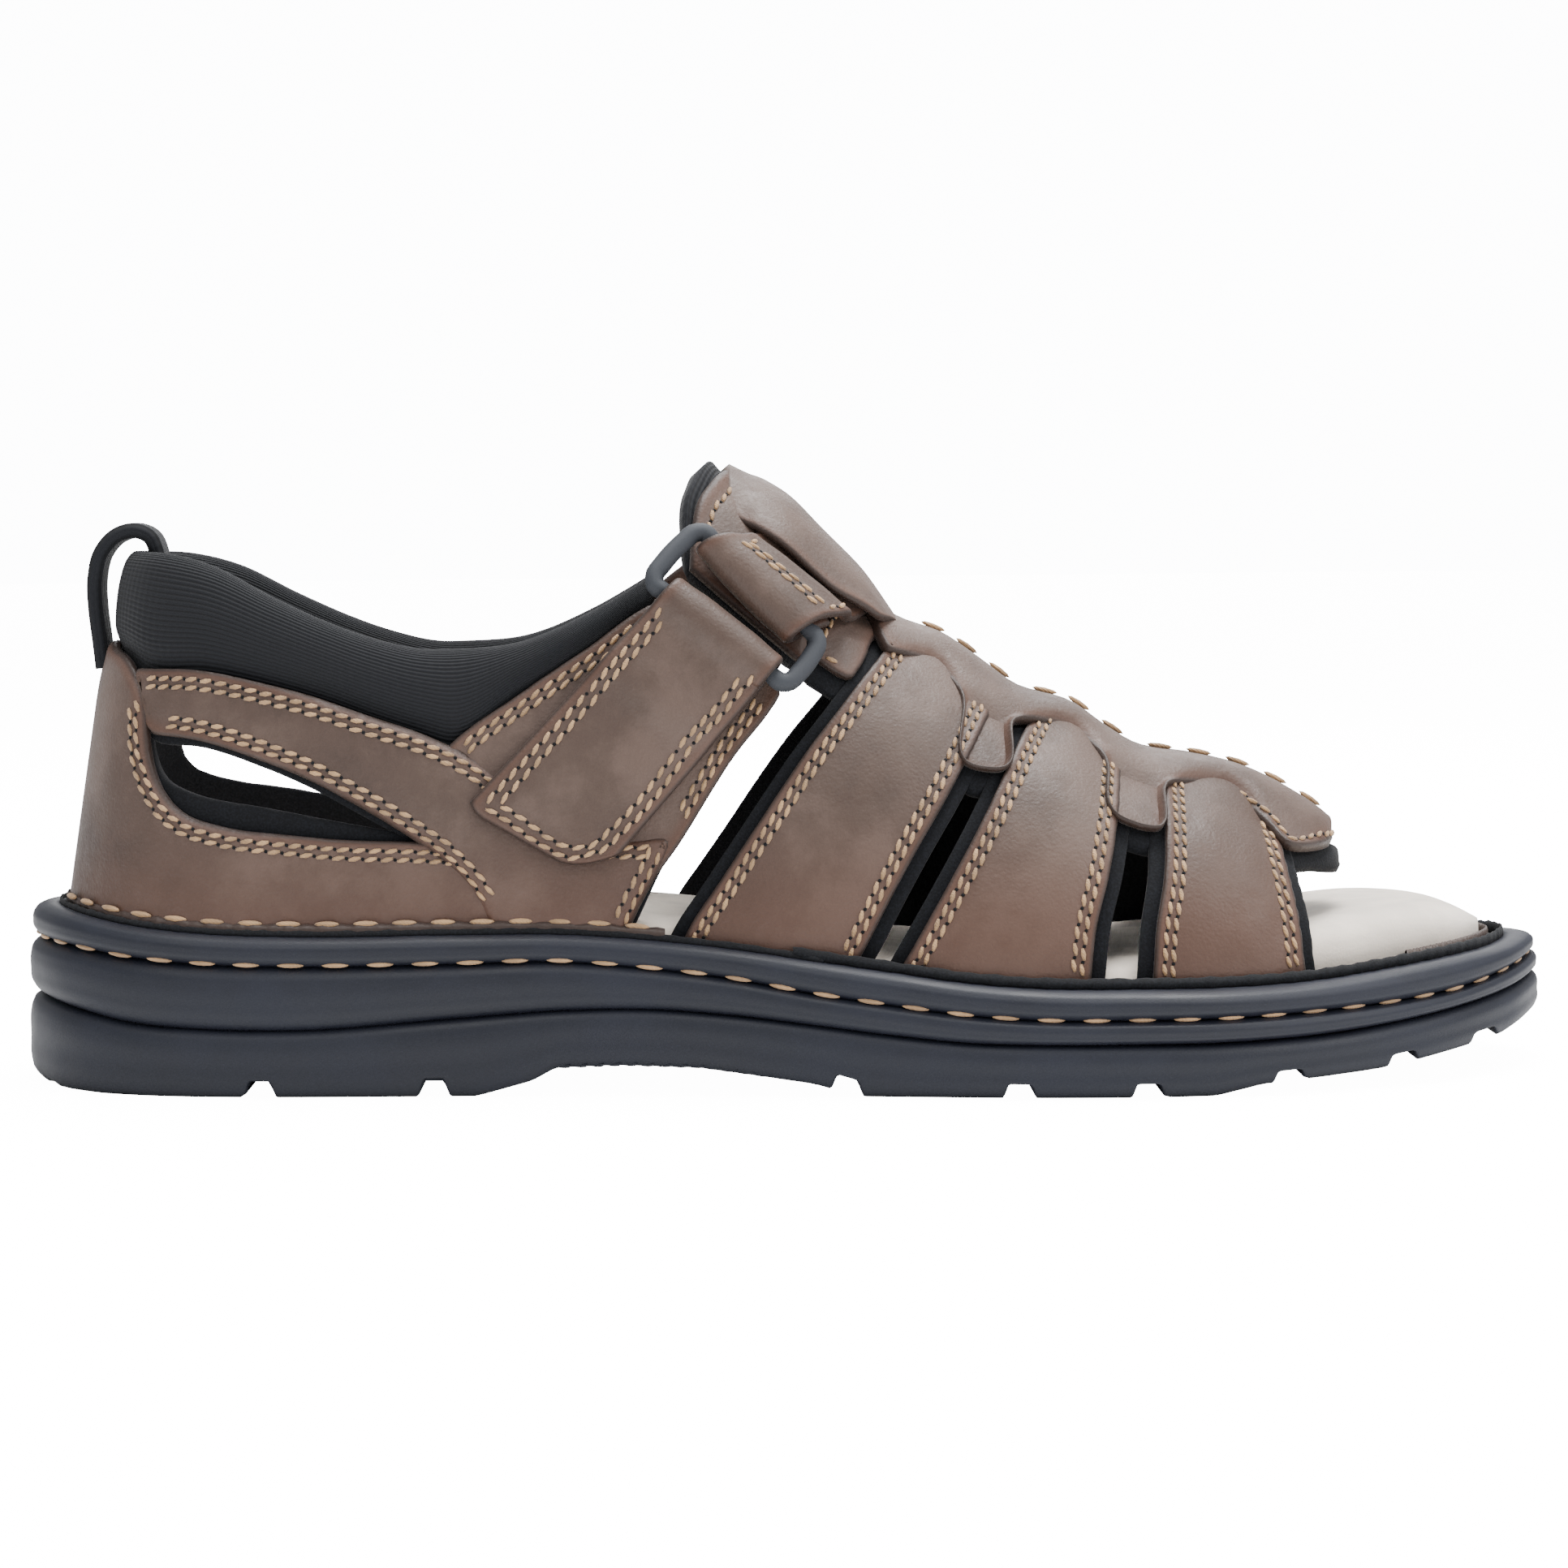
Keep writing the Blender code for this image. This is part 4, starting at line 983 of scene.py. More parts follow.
def make_stage():
    scene = bpy.context.scene
    camera = bpy.data.cameras.new("camera")
    camera.lens = CAMERA["lens"]
    camera.sensor_width = 36
    camera.clip_start, camera.clip_end = 0.05, 50
    holder = bpy.data.objects.new("camera", camera)
    scene.collection.objects.link(holder)
    yaw, pitch, roll = (radians(CAMERA[key]) for key in ("turn", "pitch", "roll"))
    ahead = Vector((sin(yaw) * cos(pitch), cos(yaw) * cos(pitch), -sin(pitch)))
    right = Vector((cos(yaw), -sin(yaw), 0))
    up = right.cross(ahead)
    right, up = right * cos(roll) + up * sin(roll), up * cos(roll) - right * sin(roll)
    facing = Matrix((right, up, -ahead)).transposed().to_4x4()
    holder.matrix_world = Matrix.Translation(CAMERA["place"]) @ facing
    scene.camera = holder
    work = bmesh.new()
    bmesh.ops.create_grid(work, x_segments=1, y_segments=1, size=6)
    mesh = bpy.data.meshes.new("floor")
    work.to_mesh(mesh)
    work.free()
    floor = bpy.data.objects.new("floor", mesh)
    floor.location.z = -0.0002
    scene.collection.objects.link(floor)
    made, tree, shader = finish("pale_floor", 0.85, (0.90, 0.90, 0.90), Emission_Strength=14.0)
    seen_directly = add_node(tree, "ShaderNodeLightPath").outputs["Is Camera Ray"]
    wire(tree, seen_directly, shader.inputs["Emission Color"])
    mesh.materials.append(made)
    world = bpy.data.worlds.new("studio")
    world.use_nodes = True
    back = world.node_tree.nodes["Background"]
    back.inputs["Color"].default_value = (0.97, 0.98, 1.0, 1)
    seen_directly = add_node(world.node_tree, "ShaderNodeLightPath").outputs["Is Camera Ray"]
    wire(world.node_tree, add_node(world.node_tree, "ShaderNodeMapRange", Value=seen_directly, To_Min=0.66,
                                   To_Max=14.0).outputs[0], back.inputs["Strength"])
    scene.world = world
    lights = (("key", (-0.35, -0.85, 1.35), 0.8, 8), ("fill", (0.95, -0.55, 0.8), 0.7, 9),
              ("top", (0.15, 0.15, 1.3), 0.7, 32), ("rim", (0.1, 1.0, 0.8), 0.8, 8))
    for name, place, size, power in lights:
        lamp = bpy.data.lights.new(name, "AREA")
        lamp.size = size
        lamp.energy = power
        holder = bpy.data.objects.new(name, lamp)
        holder.location = place
        aim = Vector((0, 0, 0.04)) - Vector(place)
        holder.rotation_euler = aim.to_track_quat("-Z", "Y").to_euler()
        scene.collection.objects.link(holder)


# The add-on
class SandalFinish(bpy.types.PropertyGroup):
    leather: FloatVectorProperty(name="Leather", description="Base colour of the waxed leather",
                                 default=(0.064, 0.0375, 0.0262), subtype="COLOR", min=0, max=1)
    thread: FloatVectorProperty(name="Thread", description="Colour of all stitching",
                                default=(0.42, 0.255, 0.125), subtype="COLOR", min=0, max=1)
    rubber: FloatVectorProperty(name="Rubber", description="Colour of the sole's layers",
                                default=(0.0104, 0.0122, 0.0200), subtype="COLOR", min=0, max=1)
    suede: FloatVectorProperty(name="Suede", description="Colour of the footbed's cover",
                               default=(0.98, 0.87, 0.74), subtype="COLOR", min=0, max=1)
    knit: FloatVectorProperty(name="Knit", description="Colour of collar, pads and linings",
                              default=(0.0030, 0.0034, 0.0046), subtype="COLOR", min=0, max=1)
    ring: FloatVectorProperty(name="Ring", description="Colour of the plastic ring",
                              default=(0.017, 0.020, 0.029), subtype="COLOR", min=0, max=1)
    pitch: FloatProperty(name="Stitch pitch", description="Length of one stitch along a seam",
                         default=0.0030, min=0.001, max=0.01, subtype="DISTANCE", unit="LENGTH")


# Leather panels. Side outlines are pairs (along, up): shares of LENGTH and INSTEP_HEIGHT
STRAP_EDGES = {
    "first": (((0.424, 0.20), (0.435, 0.265), (0.4507, 0.3227), (0.4767, 0.4193), (0.5083, 0.5345),
               (0.5347, 0.6168), (0.560, 0.690)), 0.572,
              ((0.531, 0.17), (0.5433, 0.221), (0.558, 0.2916), (0.5763, 0.3748), (0.5977, 0.463),
               (0.617, 0.5437), (0.634, 0.605)), 0.648),
    "second": (((0.560, 0.165), (0.570, 0.2084), (0.5963, 0.3227), (0.622, 0.4361), (0.650, 0.560)), 0.664,
               ((0.685, 0.14), (0.6867, 0.1807), (0.6903, 0.2563), (0.70, 0.342), (0.708, 0.4269),
                (0.7155, 0.505)), 0.722),
    "third": (((0.725, 0.14), (0.7267, 0.1866), (0.729, 0.2546), (0.736, 0.3403), (0.740, 0.4244),
               (0.743, 0.475)), 0.748,
              ((0.827, 0.15), (0.8253, 0.1924), (0.8227, 0.2689), (0.819, 0.3311), (0.8163, 0.3916)), 0.812),
}
HOLE_LOW = ((0.328, 0.372), (0.300, 0.392), (0.2607, 0.402), (0.2247, 0.405), (0.1783, 0.415), (0.137, 0.4286),
            (0.1087, 0.4555), (0.0953, 0.4975), (0.0887, 0.5555), (0.0883, 0.6067), (0.085, 0.652))
HEEL_TOP = ((0.085, 0.652), (0.074, 0.692), (0.064, 0.706), (0.050, 0.703))
BAND_TOP = ((0.0783, 0.680), (0.1273, 0.6765), (0.1687, 0.6546), (0.2047, 0.6294), (0.2353, 0.6017),
            (0.2663, 0.5748), (0.300, 0.533), (0.328, 0.475), (0.352, 0.420), (0.385, 0.405), (0.4250, 0.4076))
BAND_FRONT = ((0.4250, 0.4076), (0.4227, 0.388), (0.412, 0.336), (0.399, 0.274), (0.390, 0.21))
BAND_LOW = ((0.310, 0.20), (0.3095, 0.235), (0.305, 0.281), (0.2967, 0.3235), (0.280, 0.3697),
            (0.2607, 0.405), (0.235, 0.446), (0.2043, 0.490), (0.1683, 0.529), (0.122, 0.566), (0.0887, 0.575))
BASE_TOP = ((0.270, 0.520), (0.2867, 0.563), (0.328, 0.6353), (0.3697, 0.705), (0.406, 0.7689), (0.4185, 0.785))
BASE_FRONT = ((0.497, 0.640), (0.4853, 0.599), (0.4643, 0.5353), (0.446, 0.4647), (0.430, 0.400), (0.400, 0.30))
# Half widths of the spine over the straps, from above
SPINE = table(
    "along half",
    (0.5620, 0.150),
    (0.590, 0.108),
    (0.608, 0.150),
    (0.615, 0.285),
    (0.634, 0.280),
    (0.648, 0.160),
    (0.680, 0.105),
    (0.700, 0.150),
    (0.709, 0.300),
    (0.732, 0.298),
    (0.747, 0.160),
    (0.776, 0.105),
    (0.805, 0.155),
    (0.822, 0.205),
    (0.843, 0.145),
    (0.855, 0.070),
    (0.858, 0))
# How far the spine's ridge stands off the last
SPINE_RISE = table("along rise", (0.500, 0.0011), (0.562, 0.0026), (0.592, 0.0052), (0.620, 0.0042),
                   (0.643, 0.0028), (0.680, 0.0048), (0.706, 0.0034), (0.727, 0.0026), (0.760, 0.0044),
                   (0.800, 0.0062), (0.830, 0.0058), (0.858, 0.0040))
SEW_NEAR, SEW_FAR = 0.0019, 0.0035
# Dips that stitch rows pull into the leather: how far in, how deep, how wide
SEWN_DIPS = ((0.0027, 0.00028, 0.0013),)


def side_line(points, side=-1):
    return curve_through(seen(points, side))


def across_ridge(points, ridge):
    """Line up the outer side, over the ridge and down the inner side."""
    up = seen(points)
    walk = -walk_at((ridge - 0.5) * LENGTH / (LENGTH - 2 * RAND_WIDTH) + 0.5)
    top = np.array([[walk, girth(walk)]])
    return curve_through(np.concatenate([up, top, other_side(up)[::-1]]))


def bottom_line(start, end):
    return np.linspace(start, end, max(2, int(np.linalg.norm(end - start) / 0.002)) + 1)


def along_of(ground):
    return ground[..., 0] / LENGTH + 0.5


def ridge_lift(pairs, ground, under=0.0):
    """Extra lift near the ridge, where straps and spine stand off the last."""
    rise = smooth(SPINE_RISE, "rise", along_of(ground)) - under
    climb = pairs[:, 1] / girth(pairs[:, 0])
    return np.maximum(rise, 0) * ease(0.70, 0.97, np.minimum(climb, 2 - climb))


# Soft creases: (along, up) of both ends, depth and width
CREASES = (((0.505, 0.30), (0.552, 0.46), 0.00035, 0.0032), ((0.620, 0.24), (0.655, 0.44), 0.00030, 0.0036),
           ((0.755, 0.22), (0.785, 0.40), 0.00028, 0.0034), ((0.100, 0.36), (0.190, 0.31), 0.00040, 0.0045),
           ((0.215, 0.30), (0.262, 0.345), 0.00035, 0.0035), ((0.320, 0.30), (0.372, 0.34), 0.00040, 0.0035),
           ((0.300, 0.55), (0.335, 0.50), 0.00035, 0.0030), ((0.170, 0.60), (0.240, 0.53), 0.00028, 0.0030))


def crease(pairs, ground):
    """Shallow troughs pressed along short lines, the same on both sides."""
    seen_from_side = np.stack([along_of(ground) * LENGTH, ground[:, 2]], -1)
    drop = np.zeros(len(ground))
    for first, second, depth, width in CREASES:
        start = np.array([first[0] * LENGTH, first[1] * INSTEP_HEIGHT])
        run = np.array([second[0] * LENGTH, second[1] * INSTEP_HEIGHT]) - start
        part = np.clip((seen_from_side - start) @ run / (run @ run), 0, 1)
        away = np.linalg.norm(seen_from_side - start - part[:, None] * run, axis=1)
        drop -= depth * np.exp(-(away / width) ** 2) * np.sin(pi * np.clip(part, 0.15, 0.85)) ** 0.5
    return drop


def strap_band(name, finish_, shift=0.0, top=0.0, under=LEATHER, edge=0.0008, dips=SEWN_DIPS, rise=0.0019,
               slot="leather", replaces=None):
    rear_points, rear_ridge, front_points, front_ridge = STRAP_EDGES[name]
    rear_points = [(along - shift, up) for along, up in rear_points]
    front_points = [(along + shift, up) for along, up in front_points]
    rear = across_ridge(rear_points, rear_ridge - shift)
    front = across_ridge(front_points, front_ridge + shift)[::-1]
    stretches = [(rear, True), (bottom_line(rear[-1], front[0]), False), (front, True),
                 (bottom_line(front[-1], rear[0]), False)]
    kind = "strap" if shift == 0 else "lining"
    return panel(f"{name}_{kind}", stretches, finish_, top=top, under=under, edge=edge, dips=dips, slot=slot,
                 relief=lambda pairs, ground: ridge_lift(pairs, ground, rise) + crease(pairs, ground),
                 crown=0.0005 if shift == 0 else 0.0, replaces=replaces)


def make_straps(look):
    """Three leather straps over the forefoot with double seams along both edges."""
    rows = []
    for i, name in enumerate(STRAP_EDGES):
        made, edges = strap_band(name, look["leather"], replaces="upper" if i == 0 else None)
        for edge in edges:
            for low, high in ((0.0, 0.43), (0.57, 1.0)):
                rows += sewn([edge], (SEW_NEAR, SEW_FAR), bpy.context.scene.sandal.pitch, 0.003, low, high)
        strap_band(name, look["lining"], shift=0.0095, top=-LEATHER - 0.0001, under=0.0014, edge=0.0006,
                   dips=(), rise=0.0019)
    stitches("strap_stitches", rows, look["thread"], "leather")


def heel_lift(pairs, ground):
    """The counter lies over the band at the heel and under it at the quarter."""
    return OVERLAY * (1 - ease(0.13, 0.22, along_of(ground))) + crease(pairs, ground)


def band_lift(pairs, ground):
    return OVERLAY * ease(0.13, 0.24, along_of(ground)) * 1.15 + crease(pairs, ground)


def make_counter(look):
    """Heel counter: one panel round the heel, rising as a strip behind the side holes."""
    hole, top = seen(HOLE_LOW), seen(HEEL_TOP)
    back = np.array([[0.0, climb_to(np.array(0.0), 0.7 * INSTEP_HEIGHT) * girth(0.0)]])
    hole = curve_through(hole)
    top = curve_through(np.concatenate([top, back]))
    flip = np.array([-1, 1])
    over = np.concatenate([top, (top * flip)[::-1][1:]])
    front = bottom_line(np.array([hole[0][0], 0.0]), hole[0])
    foot_line = bottom_line(front[0] * flip, front[0])
    stretches = [(hole, True), (over, True), ((hole * flip)[::-1], True), ((front * flip)[::-1], False),
                 (foot_line, False), (front, False)]
    made, edges = panel("heel_counter", stretches, look["leather"], relief=heel_lift, dips=SEWN_DIPS,
                        crown=0.0004)
    rows = []
    for edge in (edges[0], edges[2]):
        rows += sewn([edge], (SEW_NEAR, SEW_FAR), bpy.context.scene.sandal.pitch, 0.001)
    stitches("counter_stitches", rows, look["thread"], "leather")


def quarter_panel(name, side, lines, finish_, **settings):
    stretches = []
    for points, done in lines:
        line = side_line(points, side)
        stretches.append((line, done))
    closed = []
    for i, (line, done) in enumerate(stretches):
        closed.append((line, done))
        start = stretches[(i + 1) % len(stretches)][0][0]
        if np.linalg.norm(start - line[-1]) > 1e-6:
            closed.append((bottom_line(line[-1], start), False))
    return panel(name, closed, finish_, **settings)


def make_quarters(look):
    """Each side's base panel under the closure, and the long band sewn over it."""
    rows = []
    pitch = bpy.context.scene.sandal.pitch
    for side, which in ((-1, "outer"), (1, "inner")):
        base, edges = quarter_panel(f"{which}_quarter", side, [(BASE_TOP, True), (BASE_FRONT, True),
                                                               (((0.36, 0.30), (0.30, 0.40)), False)],
                                    look["leather"], relief=crease, dips=SEWN_DIPS, crown=0.0003)
        rows += sewn([edges[0]], (SEW_NEAR, SEW_FAR), pitch, 0.002, 0.10, 0.97)
        rows += sewn([edges[1]], (SEW_NEAR, SEW_FAR), pitch, 0.004, 0.0, 0.75)
        band, edges = quarter_panel(f"{which}_band", side, [(BAND_TOP, True), (BAND_FRONT, True), (BAND_LOW, True)],
                                    look["leather"], relief=band_lift, dips=SEWN_DIPS, crown=0.0003)
        rows += sewn([edges[0]], (SEW_NEAR, SEW_FAR), pitch, 0.003)
        rows += sewn([edges[1]], (SEW_NEAR, SEW_FAR), pitch, 0.002, 0.0, 0.90)
        rows += sewn([edges[2]], (SEW_NEAR, SEW_FAR), pitch, 0.004, 0.05, 1.0)
    stitches("quarter_stitches", rows, look["thread"], "leather")


def ridge_pair(along):
    walk = -walk_at((along - 0.5) * LENGTH / (LENGTH - 2 * RAND_WIDTH) + 0.5)
    return np.stack([walk, girth(walk)], -1)


def spine_lift(pairs, ground):
    """The spine stands over the straps at the ridge and its tabs pass under their edges."""
    middle = last_point(pairs[:, 0], np.ones(len(pairs)))[:, 1]
    half = np.abs(ground[:, 1] - middle) / BALL_WIDTH
    tucked = ease(0.135, 0.205, half) * (1 - ease(0.765, 0.785, along_of(ground)))
    return ridge_lift(pairs, ground, OVERLAY) - (OVERLAY + 0.0027) * tucked


def spine_stretches(grow=0.0, end=0.0):
    outline = [(along, max(half + grow, 0)) for along, half in zip(SPINE["along"], SPINE["half"])]
    outline[-1] = (SPINE["along"][-1] + end, 0)
    outline[-2] = (outline[-2][0] + end * 0.8, outline[-2][1])
    outer = from_above(outline)
    start = np.array([ridge_pair(0.545)])
    outer = curve_through(np.concatenate([outer[:-1], [[outer[-1][0], girth(outer[-1][0])]]]), 0.0011)
    rear = curve_through(np.concatenate([other_side(outer[:1]), start, outer[:1]]))
    return [(outer, True), (other_side(outer)[::-1], True), (rear, True)]


ROOT = (((0.5125, 0.700), (0.520, 0.735), (0.532, 0.775)), 0.548,
        ((0.540, 0.652), (0.549, 0.682), (0.558, 0.720)), 0.578)
ROOT_BACKING = (((0.507, 0.668), (0.514, 0.718), (0.526, 0.765)), 0.544,
                ((0.548, 0.605), (0.557, 0.660), (0.566, 0.710)), 0.584)


def saddle_panel(name, outline, finish_, **settings):
    """Short piece astride the ridge, between its rear and front lines."""
    rear_points, rear_ridge, front_points, front_ridge = outline
    rear = across_ridge(rear_points, rear_ridge)
    front = across_ridge(front_points, front_ridge)[::-1]
    return panel(name, [(rear, True), (bottom_line(rear[-1], front[0]), True), (front, True),
                        (bottom_line(front[-1], rear[0]), True)], finish_, **settings)


def make_spine(look):
    """Strap along the ridge: arched over each strap, a tab down each gap, on a padded black backing."""
    root, root_edges = saddle_panel("spine_root", ROOT, look["leather"], top=-0.0006, under=0.0018,
                                    relief=lambda pairs, ground: ridge_lift(pairs, ground, 0.0010))
    saddle_panel("spine_root_backing", ROOT_BACKING, look["lining"], top=-0.0025, under=0.0020, edge=0.0010,
                 relief=lambda pairs, ground: ridge_lift(pairs, ground, 0.0010))
    made, edges = panel("spine", spine_stretches(), look["leather"], top=OVERLAY + 0.0003, under=0.0022, edge=0.0005,
                        relief=spine_lift, dips=((0.0022, 0.0002, 0.0010),))
    panel("spine_backing", spine_stretches(0.021, 0.011), look["lining"], top=-0.0021, under=0.0030, edge=0.0020,
          relief=lambda pairs, ground: ridge_lift(pairs, ground, 0.0019) * 0.8)
    rows = sewn(edges[:1], (0.0018,), bpy.context.scene.sandal.pitch, 0.002, 0.78, 1.0)
    rows += sewn(edges[1:2], (0.0018,), bpy.context.scene.sandal.pitch, 0.002, 0.0, 0.22)
    for low, high in ((0.0, 0.32), (0.68, 1.0)):
        rows += sewn(root_edges[:1], (0.0016,), bpy.context.scene.sandal.pitch, 0.001, low, high)
    rows += sewn(root_edges[1::2], (0.0016,), bpy.context.scene.sandal.pitch, 0.001)
    stitches("spine_edge_stitches", rows, look["thread"], "leather")
    tree = edges[0].tree
    line = on_last(ridge_pair(np.linspace(0.572, 0.850, 60)), 0.008)
    places, along = evenly(line, 0.0078)
    stitches("spine_lacing", [(places, along, tree)], look["thread"], "leather",
             half=(0.0030, 0.00065, 0.00055), slant=0.0, sink=0.0004, holes=False)


def make_rear_lining(look):
    """Padded black lining behind the heel, band and quarter, with its own smaller holes."""
    low_rim = ((0.330, 0.33), (0.300, 0.395), (0.265, 0.410), (0.223, 0.430), (0.1837, 0.449), (0.1557, 0.462),
               (0.1297, 0.472), (0.107, 0.488), (0.0923, 0.508), (0.084, 0.545), (0.080, 0.600))
    high_rim = ((0.0900, 0.560), (0.122, 0.556), (0.168, 0.519), (0.204, 0.478), (0.235, 0.434), (0.262, 0.395),
                (0.300, 0.30))
    flip = np.array([-1, 1])
    rim = side_line(low_rim)
    back = np.array([[0.0, rim[-1][1]]])
    top = bottom_line(rim[-1], back[0])
    over = np.concatenate([top, (top * flip)[::-1][1:]])
    front = bottom_line(np.array([rim[0][0], 0.0]), rim[0])
    stretches = [(rim, True), (over, False), ((rim * flip)[::-1], True), ((front * flip)[::-1], False),
                 (bottom_line(front[0] * flip, front[0]), False), (front, False)]
    panel("heel_lining", stretches, look["lining"], top=-LEATHER - 0.0001, under=LINING - 0.0012, edge=0.0014)
    for side, which in ((-1, "outer"), (1, "inner")):
        top_edge = [(along, up - 0.020) for along, up in ((0.060, 0.690), (0.127, 0.676), (0.170, 0.655),
                                                          (0.205, 0.630), (0.2353, 0.602), (0.2867, 0.570),
                                                          (0.3697, 0.700), (0.406, 0.760))]
        front_edge = [(along - 0.004, up) for along, up in BASE_FRONT[:-1]] + [(0.395, 0.24)]
        quarter_panel(f"{which}_band_lining", side, [(top_edge, False), (front_edge, True),
                                                     (high_rim[::-1], True)], look["lining"],
                      top=-LEATHER - 0.0001, under=0.0030, edge=0.0010)


# Collar, tongue, straps and ring
COLLAR_END = 0.408
COLLAR_OVERLAP = 0.010
COLLAR_SECTION = ((-0.24, -0.30), (-0.10, 0.10), (0.02, 0.38), (0.04, 0.62), (-0.06, 0.86), (-0.30, 0.985),
                  (-0.58, 0.985), (-0.84, 0.86), (-0.98, 0.60), (-1.02, 0.30), (-0.98, -0.30))


def collar_frame(u):
    """Walk round the heel, share on the last, leather edge and collar height at u from 0 to 1."""
    reach = walk_at(np.array(COLLAR_END))
    walk = (u * 2 - 1) * reach
    walk = np.where(np.abs(walk) < 1e-6, 1e-6, walk)
    a = share_at(walk)
    level = climb_to(a, 0.68 * INSTEP_HEIGHT)
    along = share(last_point(walk, level)[..., 0])
    edge = smooth(TOP_LINE, "leather", along) * INSTEP_HEIGHT
    return walk, a, edge, smooth(TOP_LINE, "collar", along) * INSTEP_HEIGHT


def make_collar(look):
    """Foam collar in ribbed knit, swelling over the leather's top edge, with a rolled top."""
    line = curve_through(COLLAR_SECTION, 0.035)
    columns = 220
    count = len(line) - 1

    def place(u, v, k):
        walk, a, edge, top = collar_frame(u)
        out, up = line[np.round(v * count).astype(int)].T
        tall = top - edge
        z = edge + np.where(up > 0, up * tall, up * COLLAR_OVERLAP / 0.30)
        swell = 1 + 0.06 * np.sin(walk * 95) * ease(0.1, 0.6, up)
        tuck = -(LEATHER + GAP) * (1 - ease(-0.1, 0.25, up)) * (out > -0.5)
        lift = np.where(out > -0.5, out * PADDING * swell + tuck, out * PADDING)
        fade = ease(0.0, 0.035, np.minimum(u, 1 - u))
        lift = lift * (0.55 + 0.45 * fade) - 0.001 * (1 - fade)
        pairs = np.stack([walk, climb_to(a, z) * girth(walk)], -1)
        return on_last(pairs, lift)
    made = shaped("collar_pad", sheet_grid(columns, count), place, look["knit"], "knit", "collar",
                  cloth=lambda u, v: (u * 0.30, v * 0.068))
    work = bmesh.new()
    work.from_mesh(made.data)
    bmesh.ops.holes_fill(work, edges=work.edges[:], sides=0)
    bmesh.ops.recalc_face_normals(work, faces=work.faces)
    work.to_mesh(made.data)
    work.free()
    return made


def tube(name, line, radius, finish_, slot, replaces=None, closed=False, swell=1.0):
    """Round bar along a line, made from a beveled curve."""
    curve = bpy.data.curves.new(name, "CURVE")
    curve.dimensions = "3D"
    curve.bevel_depth = radius
    curve.bevel_resolution = 4
    curve.use_fill_caps = not closed
    spline = curve.splines.new("POLY")
    spline.points.add(len(line) - 1)
    for point, place, size in zip(spline.points, line, np.broadcast_to(swell, len(line))):
        point.co = (*place, 1)
        point.radius = size
    spline.use_cyclic_u = closed
    holder = bpy.data.objects.new(name, curve)
    bpy.context.scene.collection.objects.link(holder)
    graph = bpy.context.evaluated_depsgraph_get()
    mesh = bpy.data.meshes.new_from_object(holder.evaluated_get(graph))
    bpy.data.objects.remove(holder)
    work = bmesh.new()
    work.from_mesh(mesh)
    bmesh.ops.remove_doubles(work, verts=work.verts, dist=1e-6)
    bmesh.ops.recalc_face_normals(work, faces=work.faces)
    return keep(name, work, finish_, slot, replaces)


LAYER = OVERLAY + GAP + STRAP / 2
SECOND_LAYER = LAYER + STRAP + GAP
FOLD = RING_BAR / 2 + 2 * GAP + STRAP / 2
BAR_LIFT = LAYER + FOLD
BAR_BACK = FOLD + STRAP / 2
FLAP = ((0.428, 0.807), (0.494, 0.671), (0.376, 0.335), (0.293, 0.454))
FLAP_LENGTH = 0.059
FLAP_TUCK = 0.017
FLAP_WIDTH = 0.0262
BRACE_LENGTH = 0.101
BRACE_TUCK = 0.0082
BRACE_WIDTH = 0.0245
BRACE = table(
    "run rear_climb rear_along front_climb front_along",
    (-0.10, 0.440, 0.415, 0.390, 0.470),
    (0, 0.526, 0.4365, 0.494, 0.4945),
    (0.13, 0.685, 0.474, 0.724, 0.538),
    (0.31, 1.000, 0.487, 1.000, 0.553),
    (0.49, 1.290, 0.480, 1.260, 0.547),
    (0.64, 1.450, 0.445, 1.480, 0.505),
    (1, 1.750, 0.362, 1.820, 0.430))


def at_share(along, climb):
    """Pair of walk and climb for a share of LENGTH and a climb that passes 1 at the ridge."""
    a = (along - 0.5) * LENGTH / (LENGTH - 2 * RAND_WIDTH) + 0.5
    walk = -walk_at(a)
    return np.stack([walk, climb * girth(walk)], -1)


def brace_place(run, across, lift):
    """Point of the instep strap, run metres from its fold, across 0 at the rear edge to 1."""
    rear, front = [[smooth(BRACE, f"{which}_{name}", run / BRACE_LENGTH, "run") for name in ("along", "climb")]
                   for which in ("rear", "front")]
    return on_last(at_share(rear[0] + (front[0] - rear[0]) * across, rear[1] + (front[1] - rear[1]) * across),
                   lift)


def flap_place(run, across, lift):
    """Point of the closure strap, run metres from its fold, across 0 at the rear edge to 1."""
    fold_rear, fold_front, free_front, free_rear = np.array(FLAP)
    part = (np.asarray(run) / FLAP_LENGTH)[..., None]
    rear = fold_rear + (free_rear - fold_rear) * part
    front = fold_front + (free_front - fold_front) * part
    return on_last(seen(rear + (front - rear) * np.asarray(across)[..., None]), lift)


def folded_path(tuck, outer):
    """Centre line of a strap round its bar: (run, lift) from the hidden end to the far end."""
    path = [(tuck, LAYER), ((tuck + BAR_BACK) / 2, LAYER)]
    path += [(BAR_BACK - FOLD * sin(pi * i / 8), BAR_LIFT - FOLD * cos(pi * i / 8)) for i in range(9)]
    return curve_through(np.array(path + list(outer)), 0.0007)


def rounded(away, radius):
    """Share of the full thickness at a distance from a rounded edge."""
    return np.sqrt(1 - (1 - np.clip(away / radius, 0, 1)) ** 2)


